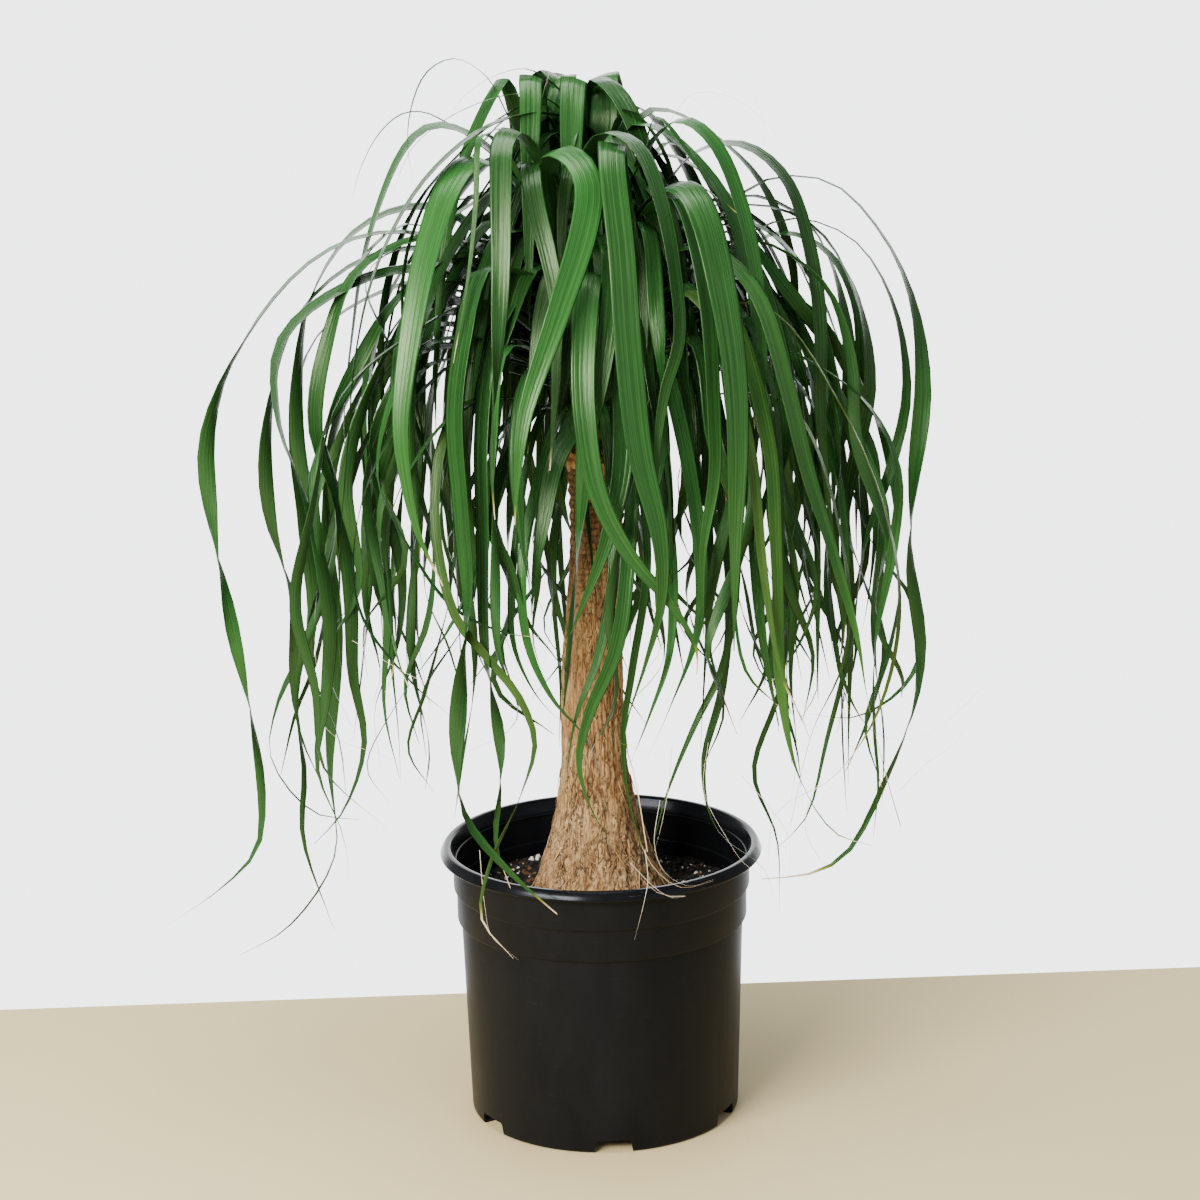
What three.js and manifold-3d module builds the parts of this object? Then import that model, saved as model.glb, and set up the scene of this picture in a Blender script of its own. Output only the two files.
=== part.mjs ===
// Ponytail palm in a moulded nursery pot: pot, soil, trunk, dry leaf bases and the head of strap leaves.
// Millimetres, +Z up, the origin in the middle of the pot's underside, the viewer on the -Y side.
import * as THREE from "three";
import { mergeVertices } from "three/addons/utils/BufferGeometryUtils.js";
import Module from "manifold-3d";

const wasm = await Module();
wasm.setup();

// Driving dimensions
const GAP = 0.35; // clear of a neighbour that it rests on
const SMALL = 0.06; // the shortest edge worth keeping
const POT = {
  sides: 48,
  height: 233,
  rimRadius: 135,
  lipUnderside: 224.6,
  bandRadius: [124.4, 121.9], // the two stacking bands, upper and lower
  bandFoot: [197, 169.5],
  shoulderRadius: 118.5,
  footRadius: 113.6,
  wall: 2.1,
};
const NOTCH = { count: 6, footWidth: 33, topWidth: 28, height: 11, reach: 28 };
const SOIL = { level: 185, sides: 40, lumps: 30 };
const TRUNK = { sides: 20, neckRadius: 25.5, neckAcross: 3, top: 573 };
const CORE = { sides: 14, foot: TRUNK.top + GAP, radius: 33 };
const BLADE = {
  thick: 2.1, // at the root, along its thick edge
  rings: [7, 10], // on a short leaf and on a long one
  longFrom: 9, // points on the route of a long leaf
  fillRings: 6,
  huskRings: 4,
  turnPerRing: 180, // degrees of twist that take one ring more
};
const SPACING = { samples: 96, bend: 3.2, twist: 3.5 }; // less sets rings closer in a bend or a twist
const CURVE_FINENESS = 300;

// Trunk outline: height, radius, and how far its middle stands across from the pot's axis
const TRUNK_OUTLINE = [
  [108, 26, 0],
  [128, 46, 0],
  [156, 58, 0],
  [185, 62.5, 0],
  [193, 57, 0],
  [208, 49.5, -1],
  [224, 43.9, -2],
  [242, 38.5, -2],
  [265, 33.1, -2.5],
  [292, 28.6, -3.6],
  [321, 26.3, -4.4],
  [375, 25.6, -4.4],
  [425, 22.9, -2.6],
  [478, 20.9, -0.6],
  [520, 21.8, 1],
  [545, 24.4, 2.6],
  [556, TRUNK.neckRadius, TRUNK.neckAcross],
  [TRUNK.top, TRUNK.neckRadius, TRUNK.neckAcross],
];

// The leaf routes are read on the upright plane through the trunk: across, up and, third, how far behind that
// plane the leaf lies. The eye is 2.4 m away, so a nearer or farther point slides along the line to the eye.
const EYE = { back: 2400, up: 1027 };

// Each leaf: width, [where its twist starts along it, total twist in degrees], then its route after the root
const TOP_LEAVES = [
  [6, [0.5, 0], [-35, 770, -5], [-66, 842, -20], [-80, 868, -30], [-104, 882, -40], [-126, 872, -48],
    [-140, 842, -55], [-143, 813, -58], [-140, 787, -60]],
  [5, [0.5, 0], [-5, 830, 0], [-44, 872, -25], [-73, 868, -35], [-100, 850, -42], [-117, 820, -50]],
  [5, [0.5, 0], [-10, 825, 5], [-38, 852, -20], [-68, 852, -35], [-98, 842, -45], [-118, 831, -52],
    [-140, 812, -58], [-160, 770, -64]],
  [6, [0.5, 0], [-70, 800, 15], [-112, 832, 15], [-132, 841, 15], [-148, 839, 12], [-165, 825, 10],
    [-180, 800, 8], [-192, 765, 5]],
  [17, [0.3, 25], [12, 800, 10], [0, 822, -5], [-20, 835, -22], [-45, 838, -38], [-70, 832, -52],
    [-100, 815, -66], [-138, 777, -84], [-172, 715, -98], [-190, 650, -103], [-200, 570, -104],
    [-212, 470, -104]],
  [18, [0.3, 20], [-45, 770, 5], [-80, 812, 0], [-112, 830, -5], [-130, 828, -8], [-148, 808, -12],
    [-178, 735, -20], [-192, 665, -26], [-202, 590, -28], [-200, 530, -28]],
  [26, [0.5, 0], [-35, 745, -15], [-65, 790, -40], [-90, 803, -60], [-108, 787, -80], [-130, 730, -105],
    [-146, 660, -125], [-156, 590, -137], [-154, 550, -140], [-145, 500, -140], [-126, 455, -140]],
  [20, [0.6, -150], [-20, 745, -25], [-40, 800, -60], [-58, 826, -85], [-68, 815, -105], [-70, 780, -120],
    [-72, 710, -138], [-78, 635, -150], [-84, 560, -158], [-82, 510, -158]],
  [27, [0.6, 30], [-22, 735, -35], [-32, 785, -60], [-27, 810, -76], [-8, 800, -95], [0, 780, -108],
    [-5, 745, -121], [-27, 678, -140], [-54, 600, -155], [-61, 560, -160], [-66, 505, -158]],
  [22, [0.62, 60], [18, 750, -40], [20, 800, -75], [19, 815, -90], [19, 790, -108], [25, 725, -128],
    [29, 650, -142], [37, 565, -152], [53, 490, -158], [53, 435, -158], [38, 380, -155], [22, 325, -150],
    [30, 285, -149], [39, 222, -145]],
  [21, [0.6, 40], [-2, 750, -30], [0, 800, -55], [12, 822, -70], [28, 820, -82], [41, 808, -92],
    [58, 760, -112], [68, 700, -126], [70, 655, -132], [58, 612, -138], [51, 560, -142], [52, 510, -142]],
  [22, [0.3, 20], [2, 780, 35], [5, 845, 28], [9, 865, 18], [20, 857, 2], [31, 840, -10], [45, 800, -28],
    [54, 720, -38], [58, 630, -41]],
  [25, [0.5, 0], [-10, 790, 15], [-11, 850, 5], [-10, 867, -8], [-12, 848, -24], [-14, 800, -42],
    [-15, 730, -54], [-15, 670, -58]],
  [15, [0.3, -20], [-50, 800, 5], [-60, 850, -8], [-66, 866, -18], [-76, 850, -28], [-98, 803, -44],
    [-116, 730, -58], [-126, 640, -65], [-128, 580, -68]],
  [22, [0.5, 0], [-38, 800, -5], [-42, 855, -15], [-44, 868, -26], [-45, 848, -40], [-47, 790, -56],
    [-49, 720, -65], [-50, 670, -68]],
  [19, [0.5, 30], [-10, 800, 30], [-22, 858, 20], [-30, 871, 24], [-44, 850, 55], [-60, 780, 80],
    [-68, 690, 92]],
  [8, [0.4, 0], [-50, 780, -50], [-74, 818, -73], [-85, 822, -85], [-90, 770, -98], [-97, 715, -106],
    [-112, 640, -112]],
  [7, [0.4, 30], [43, 800, -60], [54, 834, -68], [66, 824, -74], [83, 800, -80], [104, 770, -86],
    [125, 750, -90]],
  [22, [0.5, 20], [-16, 780, 5], [-26, 813, 2], [-23, 848, 6], [-18, 867, 22], [-22, 852, 62],
    [-34, 790, 96], [-44, 700, 112], [-50, 600, 116]],
  [24, [0.5, -20], [8, 790, 10], [12, 820, 8], [14, 852, 14], [14, 868, 34], [20, 848, 70], [28, 790, 98],
    [36, 700, 112], [40, 600, 116]],
  [18, [0.5, 0], [-30, 780, 10], [-44, 818, 6], [-46, 849, 8], [-41, 867, 22], [-44, 850, 56],
    [-52, 790, 86], [-60, 700, 100]],
  [18, [0.5, 20], [-26, 760, -42], [-44, 800, -62], [-46, 790, -84], [-42, 762, -98], [-34, 728, -110],
    [-28, 690, -118], [-30, 620, -126], [-36, 550, -130]],
  [15, [0.4, 40], [30, 770, -5], [45, 800, -8], [64, 829, -14], [88, 822, -20], [112, 790, -28],
    [128, 730, -36], [136, 650, -42], [140, 570, -46]],
];
const FRONT_LEAVES = [
  [24, [0.55, 330], [-60, 712, -70], [-86, 717, -88], [-101, 665, -108], [-111, 600, -120],
    [-108, 515, -132], [-105, 440, -140], [-114, 365, -146], [-120, 300, -149], [-113, 254, -151],
    [-75, 204, -154], [-38, 168, -157]],
  [20, [0.66, 360], [-30, 690, -35], [-60, 692, -65], [-80, 650, -90], [-90, 580, -112], [-91, 500, -124],
    [-92, 405, -133], [-83, 325, -138], [-84, 280, -140], [-88, 232, -142], [-77, 192, -143]],
  [20, [0.7, 60], [-30, 640, -60], [-50, 630, -95], [-62, 575, -116], [-61, 510, -127], [-54, 445, -132],
    [-52, 420, -133]],
  [19, [0.6, 30], [-5, 610, -45], [-18, 582, -75], [-32, 555, -98], [-42, 508, -115], [-50, 462, -122],
    [-54, 428, -124]],
  [11, [0.6, 60], [-70, 560, -90], [-83, 505, -116], [-70, 470, -122], [-57, 424, -127], [-37, 396, -129],
    [-19, 366, -131], [-10, 345, -131]],
  [10, [0.6, 180], [-110, 600, -85], [-130, 530, -110], [-117, 431, -132], [-92, 395, -138],
    [-65, 358, -144], [-53, 319, -147], [-67, 271, -149], [-94, 212, -151], [-102, 165, -153],
    [-76, 129, -156]],
  [11, [0.6, 60], [-40, 560, -90], [-60, 470, -122], [-57, 405, -130], [-38, 358, -134], [-10, 322, -136],
    [3, 285, -136], [8, 257, -136]],
  [8, [0.6, 60], [-70, 440, -120], [-65, 390, -128], [-35, 341, -134], [0, 330, -137], [17, 318, -138],
    [48, 308, -139]],
  [12, [0.6, 120], [30, 560, -100], [26, 470, -128], [15, 398, -140], [-8, 343, -145], [-17, 300, -147],
    [-5, 255, -149], [24, 209, -151], [50, 184, -153], [70, 182, -153]],
  [9, [0.6, 60], [15, 470, -118], [0, 390, -130], [-18, 343, -135], [-27, 290, -138], [-24, 245, -140],
    [-16, 214, -140]],
  [8, [0.6, 60], [42, 480, -118], [28, 380, -130], [20, 325, -134], [24, 268, -137], [42, 211, -140],
    [66, 190, -134], [94, 195, -113]],
  [21, [0.5, 0], [2, 690, -75], [0, 712, -100], [-6, 660, -128], [-7, 600, -143], [3, 530, -151],
    [28, 478, -155], [61, 436, -155], [82, 398, -153], [82, 375, -152]],
  [22, [0.5, 30], [14, 730, -60], [18, 728, -90], [15, 680, -112], [7, 622, -126], [-2, 575, -133],
    [-6, 535, -135]],
  [22, [0.5, 0], [28, 660, -70], [26, 620, -105], [22, 545, -128], [8, 487, -138], [-10, 440, -140],
    [-22, 412, -138]],
  [27, [0.6, 60], [40, 750, -45], [62, 778, -75], [80, 776, -95], [92, 752, -112], [105, 695, -129],
    [114, 635, -139], [117, 575, -145], [115, 480, -148], [113, 395, -147]],
  [19, [0.6, 60], [35, 730, -40], [58, 768, -72], [72, 770, -90], [84, 735, -110], [93, 680, -124],
    [97, 610, -132], [98, 545, -135], [88, 480, -136], [88, 410, -134]],
  [22, [0.6, 30], [25, 690, -40], [40, 712, -62], [47, 675, -84], [50, 600, -98], [58, 510, -106],
    [63, 430, -109]],
  [18, [0.6, 60], [70, 640, -60], [100, 650, -90], [122, 590, -110], [128, 510, -120], [136, 410, -128],
    [150, 330, -130]],
  [17, [0.6, 40], [60, 690, -50], [108, 690, -80], [142, 625, -95], [151, 545, -105], [150, 455, -110],
    [138, 365, -112]],
];
const RIGHT_LEAVES = [
  [18, [0.3, 40], [30, 770, -25], [50, 812, -45], [75, 832, -62], [100, 812, -76], [121, 762, -88],
    [133, 705, -96], [138, 630, -101], [137, 550, -103]],
  [19, [0.25, 70], [55, 770, -12], [85, 805, -22], [122, 811, -31], [155, 785, -39], [174, 732, -46],
    [184, 665, -51], [184, 600, -54], [190, 530, -56], [198, 470, -56]],
  [17, [0.32, 470], [90, 740, 10], [138, 781, 5], [191, 780, -5], [232, 739, -14], [257, 685, -20],
    [267, 615, -24], [261, 530, -27], [259, 470, -29], [267, 395, -31], [262, 345, -34], [240, 285, -40],
    [206, 217, -54], [176, 200, -62], [134, 196, -70]],
  [11, [0.3, 300], [70, 700, 20], [134, 743, 15], [167, 751, 9], [211, 733, 0], [241, 685, -7],
    [254, 612, -12], [243, 551, -16], [222, 486, -20], [210, 400, -24], [190, 318, -30], [172, 249, -37],
    [147, 222, -42]],
  [15, [0.45, 180], [110, 715, 45], [150, 740, 40], [186, 727, 35], [212, 685, 30], [218, 620, 27],
    [216, 550, 25], [218, 495, 25]],
  [11, [0.35, 260], [90, 645, -35], [130, 655, -48], [179, 634, -60], [225, 596, -69], [247, 545, -74],
    [244, 480, -77], [230, 395, -79], [230, 320, -80], [233, 280, -80], [229, 232, -80]],
  [10, [0.4, 150], [120, 630, 30], [150, 625, 28], [197, 606, 24], [226, 565, 20], [230, 500, 18],
    [222, 425, 16], [216, 400, 16]],
  [19, [0.62, 200], [55, 722, -60], [95, 728, -85], [132, 692, -110], [155, 620, -126], [173, 545, -132],
    [195, 475, -135], [215, 405, -136], [224, 350, -136], [240, 283, -134], [252, 240, -131]],
  [19, [0.4, 60], [50, 690, -15], [95, 690, -25], [135, 655, -35], [181, 593, -47], [200, 529, -53],
    [206, 455, -57], [204, 400, -58]],
  [9, [0.5, 180], [150, 650, 35], [205, 540, 25], [230, 478, 18], [257, 440, 14], [268, 395, 10],
    [252, 360, 7], [212, 336, 4], [172, 341, 2]],
  [11, [0.5, 200], [150, 640, -10], [184, 540, -22], [192, 440, -27], [203, 370, -30], [228, 324, -32],
    [262, 316, -34], [300, 340, -35], [315, 357, -35]],
  [10, [0.5, 150], [140, 680, -75], [200, 600, -90], [240, 500, -98], [249, 420, -100], [232, 340, -102],
    [195, 284, -101], [148, 255, -96], [140, 205, -95]],
  [15, [0.6, 150], [100, 690, -90], [140, 580, -120], [148, 470, -130], [152, 362, -133], [168, 283, -134],
    [198, 235, -132], [228, 224, -130]],
  [12, [0.5, 60], [85, 690, -100], [124, 580, -128], [138, 460, -137], [153, 372, -142], [173, 329, -144]],
  [8, [0.5, 90], [110, 650, -55], [162, 510, -76], [181, 448, -82], [168, 402, -84], [140, 362, -85]],
  [9, [0.5, 90], [160, 600, -95], [207, 450, -106], [202, 380, -110], [178, 325, -112], [159, 242, -112]],
  [15, [0.5, 120], [50, 650, -85], [84, 500, -122], [84, 415, -131], [60, 348, -135], [41, 306, -136]],
  [12, [0.5, 90], [30, 640, -65], [60, 500, -104], [60, 395, -116], [43, 342, -120], [26, 300, -122]],
  [10, [0.5, 120], [80, 660, -55], [116, 490, -90], [104, 385, -99], [80, 332, -103], [58, 278, -105],
    [42, 222, -96]],
  [10, [0.5, 150], [70, 640, -35], [108, 460, -70], [103, 365, -80], [87, 295, -86], [98, 240, -90],
    [137, 205, -95], [146, 178, -96]],
  [9, [0.5, 150], [90, 680, 20], [150, 500, 14], [152, 370, 10], [129, 290, 7], [148, 232, 5],
    [150, 168, 4]],
];
const LEFT_LEAVES = [
  [17, [0.36, 560], [-40, 700, -5], [-100, 735, -12], [-170, 745, -20], [-225, 722, -26], [-285, 652, -33],
    [-313, 583, -37], [-314, 514, -39], [-303, 435, -43], [-289, 355, -47], [-283, 275, -50],
    [-290, 230, -51], [-322, 196, -53], [-378, 158, -55]],
  [15, [0.36, 500], [-50, 690, 15], [-120, 730, 20], [-180, 725, 25], [-235, 680, 29], [-264, 590, 32],
    [-266, 514, 33], [-250, 440, 33], [-252, 360, 33], [-246, 300, 33], [-250, 240, 33], [-227, 158, 33]],
  [19, [0.4, 200], [-60, 680, -20], [-130, 715, -35], [-190, 705, -48], [-250, 660, -60], [-254, 595, -70],
    [-233, 522, -76], [-220, 430, -79], [-226, 365, -80], [-236, 300, -80], [-216, 240, -80],
    [-212, 198, -80]],
  [19, [0.4, 160], [-60, 700, -5], [-105, 738, -15], [-150, 752, -26], [-203, 690, -41], [-222, 610, -51],
    [-209, 530, -58], [-202, 450, -61], [-203, 380, -62], [-196, 320, -62], [-216, 262, -62],
    [-241, 234, -62]],
  [15, [0.4, 200], [-40, 680, 30], [-110, 710, 50], [-215, 670, 75], [-243, 600, 83], [-238, 510, 86],
    [-236, 420, 86], [-266, 360, 86], [-274, 310, 86], [-240, 262, 86], [-202, 255, 86]],
  [15, [0.4, 160], [-40, 660, -35], [-85, 690, -60], [-150, 660, -90], [-204, 612, -105], [-230, 520, -113],
    [-248, 440, -116], [-235, 370, -116], [-230, 300, -116], [-178, 246, -116]],
  [19, [0.4, 200], [-60, 650, 40], [-120, 680, 60], [-200, 610, 85], [-218, 510, 93], [-216, 420, 95],
    [-226, 300, 95], [-224, 225, 95], [-266, 161, 95], [-307, 137, 95]],
  [7, [0.4, 90], [-110, 640, -60], [-185, 540, -85], [-196, 440, -96], [-155, 374, -102],
    [-122, 343, -104]],
  [8, [0.4, 90], [-110, 600, -90], [-165, 520, -107], [-169, 425, -112], [-170, 380, -113],
    [-177, 365, -113]],
  [6, [0.4, 90], [-80, 520, -80], [-116, 428, -100], [-167, 355, -108], [-194, 300, -111],
    [-177, 270, -111]],
  [8, [0.4, 120], [-100, 540, -110], [-124, 430, -122], [-143, 365, -126], [-159, 315, -128],
    [-139, 278, -128]],
  [11, [0.4, 90], [-90, 660, -60], [-140, 650, -85], [-176, 550, -108], [-153, 490, -116],
    [-118, 437, -125], [-75, 414, -133], [-48, 410, -137]],
  [15, [0.4, 60], [-70, 700, -10], [-140, 735, -20], [-180, 712, -30], [-163, 655, -42], [-140, 580, -52],
    [-112, 490, -62], [-102, 450, -64]],
  [18, [0.4, 60], [-70, 670, 20], [-130, 680, 30], [-180, 620, 42], [-184, 540, 48], [-176, 460, 52]],
];

// Rule-made leaves that fill the head between and behind the others
const FILL = {
  count: 36,
  turn: 137.508, // degrees from one leaf to the next
  crowdBack: 0.4, // how far the leaves crowd to the back, where no others are given
  root: [600, 688], // oldest, youngest
  crest: [715, 858],
  crestReach: [112, 44],
  hang: [84, 104], // how much farther out the leaf hangs
  drop: [430, 230],
  width: [11, 21],
};

// Park and Miller's generator: the same draws on every run
function makeDraw(seed) {
  let state = seed;
  return (low, high) => {
    state = (state * 16807) % 2147483647;
    return low + ((high - low) * state) / 2147483647;
  };
}

const mix = (a, b, share) => a + (b - a) * share;

// A closed mesh as a solid that can be joined and cut
function solidOf(geometry) {
  const bare = geometry.clone();
  bare.deleteAttribute("normal");
  bare.deleteAttribute("uv");
  const merged = mergeVertices(bare, 1e-4);
  return new wasm.Manifold(
    new wasm.Mesh({
      numProp: 3,
      vertProperties: new Float32Array(merged.attributes.position.array),
      triVerts: new Uint32Array(merged.index.array),
    }),
  );
}

function geometryOf(solid) {
  const mesh = solid.getMesh();
  const positions = new Float32Array(mesh.numVert * 3);
  for (let i = 0; i < mesh.numVert; i++) {
    positions.set(mesh.vertProperties.subarray(i * mesh.numProp, i * mesh.numProp + 3), i * 3);
  }
  const geometry = new THREE.BufferGeometry();
  geometry.setAttribute("position", new THREE.BufferAttribute(positions, 3));
  geometry.setIndex(new THREE.BufferAttribute(new Uint32Array(mesh.triVerts), 1));
  return geometry;
}

// Solids joined in pairs, so that each join stays small
function joinAll(solids) {
  let parts = solids;
  while (parts.length > 1) {
    const joined = [];
    for (let i = 0; i < parts.length; i += 2) {
      joined.push(i + 1 < parts.length ? parts[i].add(parts[i + 1]) : parts[i]);
    }
    parts = joined;
  }
  return soundBody(parts[0]);
}

// The one body that counts, with edges too short to matter closed up: a hollow that joining sealed is filled,
// and a loose scrap is dropped
function soundBody(solid) {
  return solid.asOriginal().simplify(SMALL).decompose().sort((a, b) => b.volume() - a.volume())[0];
}

// A body of revolution round Z from a profile of [radius, height] that starts and ends on the axis
function turned(profile, sides) {
  const points = profile.map(([radius, height]) => new THREE.Vector2(radius, height));
  return new THREE.LatheGeometry(points, sides).rotateX(Math.PI / 2);
}

// A closed skin over rings that each hold the same number of points, lowest ring first
function skinned(rings) {
  const count = rings[0].length;
  const foot = centreOf(rings[0]);
  const head = centreOf(rings[rings.length - 1]);
  const positions = [...rings.flat(), foot, head].flatMap((p) => [p.x, p.y, p.z]);
  const footIndex = rings.length * count;
  const index = [];
  for (let k = 0; k < count; k++) {
    const next = (k + 1) % count;
    for (let r = 0; r + 1 < rings.length; r++) {
      const low = r * count;
      const high = low + count;
      index.push(low + k, low + next, high + next, low + k, high + next, high + k);
    }
    const last = (rings.length - 1) * count;
    index.push(footIndex, next, k, footIndex + 1, last + k, last + next);
  }
  const geometry = new THREE.BufferGeometry();
  geometry.setAttribute("position", new THREE.Float32BufferAttribute(positions, 3));
  geometry.setIndex(index);
  return geometry;
}

function centreOf(ring) {
  return ring.reduce((sum, p) => sum.add(p), new THREE.Vector3()).divideScalar(ring.length);
}

// Pot: one moulding with a rolled lip, two stacking bands, a tapered body and six drain notches
function potProfile() {
  const [upper, lower] = POT.bandRadius;
  const [upperFoot, lowerFoot] = POT.bandFoot;
  const rim = POT.rimRadius;
  const { wall, height, lipUnderside, shoulderRadius, footRadius } = POT;
  return [
    [0, 0],
    [footRadius - 3, 0],
    [footRadius - 1, 1],
    [footRadius, 3.5],
    [shoulderRadius, lowerFoot - 2.5],
    [lower - 1, lowerFoot - 0.5],
    [lower, lowerFoot + 1.5],
    [lower, upperFoot - 2],
    [upper - 1, upperFoot],
    [upper, upperFoot + 2],
    [upper, lipUnderside - 1.5],
    [upper + 1.6, lipUnderside],
    [rim - 3.2, lipUnderside],
    [rim - 0.8, lipUnderside + 1.9],
    [rim, height - 3.2],
    [rim - 0.8, height - 1.1],
    [rim - 3.4, height],
    [rim - 7, height - 0.6],
    [rim - 9.4, height - 2.4],
    [upper - wall + 0.4, lipUnderside - 1],
    [upper - wall, upperFoot + 22.5],
    [upper - wall - 0.7, upperFoot + 21.5],
    [upper - wall - 0.7, upperFoot + 0.5],
    [lower - wall, upperFoot - 2],
    [lower - wall, lowerFoot + 2.5],
    [shoulderRadius - wall, lowerFoot - 1.5],
    [footRadius - wall, 4.5],
    [footRadius - wall - 2, 2.2],
    [0, 2.2],
  ];
}

// The radial cutters of the drain notches, larger by `grow` for what has to stay clear of them
function notchCutters(grow) {
  const half = NOTCH.footWidth / 2 + grow;
  const topHalf = NOTCH.topWidth / 2 + grow;
  const outline = new THREE.Shape([
    new THREE.Vector2(-half, -1),
    new THREE.Vector2(half, -1),
    new THREE.Vector2(topHalf, NOTCH.height + grow),
    new THREE.Vector2(-topHalf, NOTCH.height + grow),
  ]);
  const depth = NOTCH.reach + grow + 6;
  const start = POT.footRadius - NOTCH.reach - grow;
  const cutters = [];
  for (let i = 0; i < NOTCH.count; i++) {
    const cutter = new THREE.ExtrudeGeometry(outline, { depth, bevelEnabled: false });
    cutter.rotateX(Math.PI / 2); // the outline's up is now +Z and the cutter runs along -Y
    cutter.translate(0, -start, 0);
    cutter.rotateZ(THREE.MathUtils.degToRad(3 + (360 / NOTCH.count) * i));
    cutters.push(solidOf(cutter));
  }
  return wasm.Manifold.union(cutters);
}

function makePot() {
  return solidOf(turned(potProfile(), POT.sides)).subtract(notchCutters(0));
}

// Trunk: the outline's rings, a little fluted, with low buttresses where it swells at the soil
function trunkRing([height, radius, across], grow) {
  const ring = [];
  const neck = THREE.MathUtils.smoothstep(height, 500, 550);
  const swell = 1 - THREE.MathUtils.smoothstep(height, 190, 270);
  for (let k = 0; k < TRUNK.sides; k++) {
    const angle = (2 * Math.PI * k) / TRUNK.sides;
    const flutes = 0.022 * Math.sin(3 * angle + height / 60) + 0.016 * Math.sin(7 * angle + height / 35);
    const buttress = 0.03 * Math.sin(5 * angle + 1) * swell;
    const reach = radius * (1 + (flutes + buttress) * (1 - neck)) + grow;
    ring.push(new THREE.Vector3(across + reach * Math.cos(angle), reach * Math.sin(angle), height));
  }
  return ring;
}

function makeTrunk(grow = 0) {
  const rings = TRUNK_OUTLINE.map((row) => trunkRing(row, grow));
  if (grow) rings[0].forEach((p) => (p.z -= grow));
  return solidOf(skinned(rings));
}

// Soil: fills the pot, lumpy on top, with a plain hole for the trunk and its buried swelling
function soilLevel(x, y) {
  return SOIL.level + 1.6 * Math.sin(x / 13 + 1) * Math.cos(y / 17) + 1.2 * Math.sin(x / 7 - y / 9);
}

function makeSoil() {
  const [, lower] = POT.bandRadius;
  const [, lowerFoot] = POT.bandFoot;
  const foot = POT.footRadius - POT.wall - GAP;
  const inside = [
    [foot - 2.4, 2.2 + GAP],
    [foot, 4.8],
    [POT.shoulderRadius - POT.wall - GAP, lowerFoot - 1.4],
    [lower - POT.wall - GAP, lowerFoot + 2.7],
    [lower - POT.wall - GAP, null],
    [106, null],
    [92, null],
    [78, null],
    [60, null],
    [30, null],
  ];
  const rings = inside.map(([radius, height]) => {
    const ring = [];
    for (let k = 0; k < SOIL.sides; k++) {
      const angle = (2 * Math.PI * k) / SOIL.sides;
      const x = radius * Math.cos(angle);
      const y = radius * Math.sin(angle);
      ring.push(new THREE.Vector3(x, y, height ?? soilLevel(x, y)));
    }
    return ring;
  });
  const draw = makeDraw(411);
  const lumps = [];
  for (let i = 0; i < SOIL.lumps; i++) {
    const angle = draw(0, 2 * Math.PI);
    const radius = draw(70, 112);
    const size = draw(2.6, 4.6);
    const lump = new THREE.OctahedronGeometry(size).scale(draw(0.8, 1.5), draw(0.8, 1.3), draw(0.6, 0.9));
    const x = radius * Math.cos(angle);
    const y = radius * Math.sin(angle);
    lump.rotateZ(draw(0, Math.PI)).translate(x, y, soilLevel(x, y) + size * 0.2);
    lumps.push(solidOf(lump));
  }
  const filled = joinAll([solidOf(skinned(rings)), ...lumps]);
  return soundBody(filled.subtract(makeTrunk(GAP)).subtract(notchCutters(1)));
}

// Where a point read on the upright plane through the trunk really is, `behind` that plane
function placed([across, up, behind]) {
  const far = (EYE.back + behind) / EYE.back;
  return new THREE.Vector3(across * far, behind, EYE.up + (up - EYE.up) * far);
}

// A leaf's whole route: its root in the head, a rising stretch, and then the points it was given
function rooted(points) {
  const first = points[0];
  const crest = Math.max(...points.map((p) => p.z));
  const height = THREE.MathUtils.clamp(598 + (crest - 640) * 0.36, 598, 678);
  const out = Math.hypot(first.x, first.y);
  const dir = new THREE.Vector3(first.x / out, first.y / out, 0);
  const root = dir.clone().multiplyScalar(8).setZ(height - 6);
  const stretch = first.z < 640 ? 0.55 : 0.36; // a low leaf bends outward above the dry bases
  const rise = dir.clone().multiplyScalar(8 + (out - 8) * stretch);
  rise.z = Math.max(612, height + (first.z - height) * 0.58 + Math.min(out, 60) * 0.16);
  return [root, rise, ...points];
}

// How wide a leaf is along its length: a clasping base, a long even stretch and a fine point
function widthAt(share) {
  const base = mix(0.4, 1, THREE.MathUtils.smoothstep(share, 0.05, 0.25));
  const point = Math.pow(Math.max(0, 1 - Math.pow(share, 3.2)), 0.9);
  return base * Math.max(point, 0.05);
}

// Places along a curve, closer together where it bends or its blade twists
function stationsOf(curve, turnAt, steps) {
  const fine = SPACING.samples;
  const tangents = Array.from({ length: fine + 1 }, (_, i) => curve.getTangentAt(i / fine));
  const effort = [0];
  for (let i = 1; i <= fine; i++) {
    const bend = tangents[i].angleTo(tangents[i - 1]);
    const twisting = Math.abs(turnAt(i / fine) - turnAt((i - 1) / fine));
    effort.push(effort[i - 1] + 1 / fine + bend / SPACING.bend + twisting / SPACING.twist);
  }
  const stations = [];
  for (let i = 0, k = 0; i < steps; i++) {
    while (effort[k] < (effort[fine] * i) / steps) k++;
    stations.push(k / fine);
  }
  return stations;
}

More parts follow.
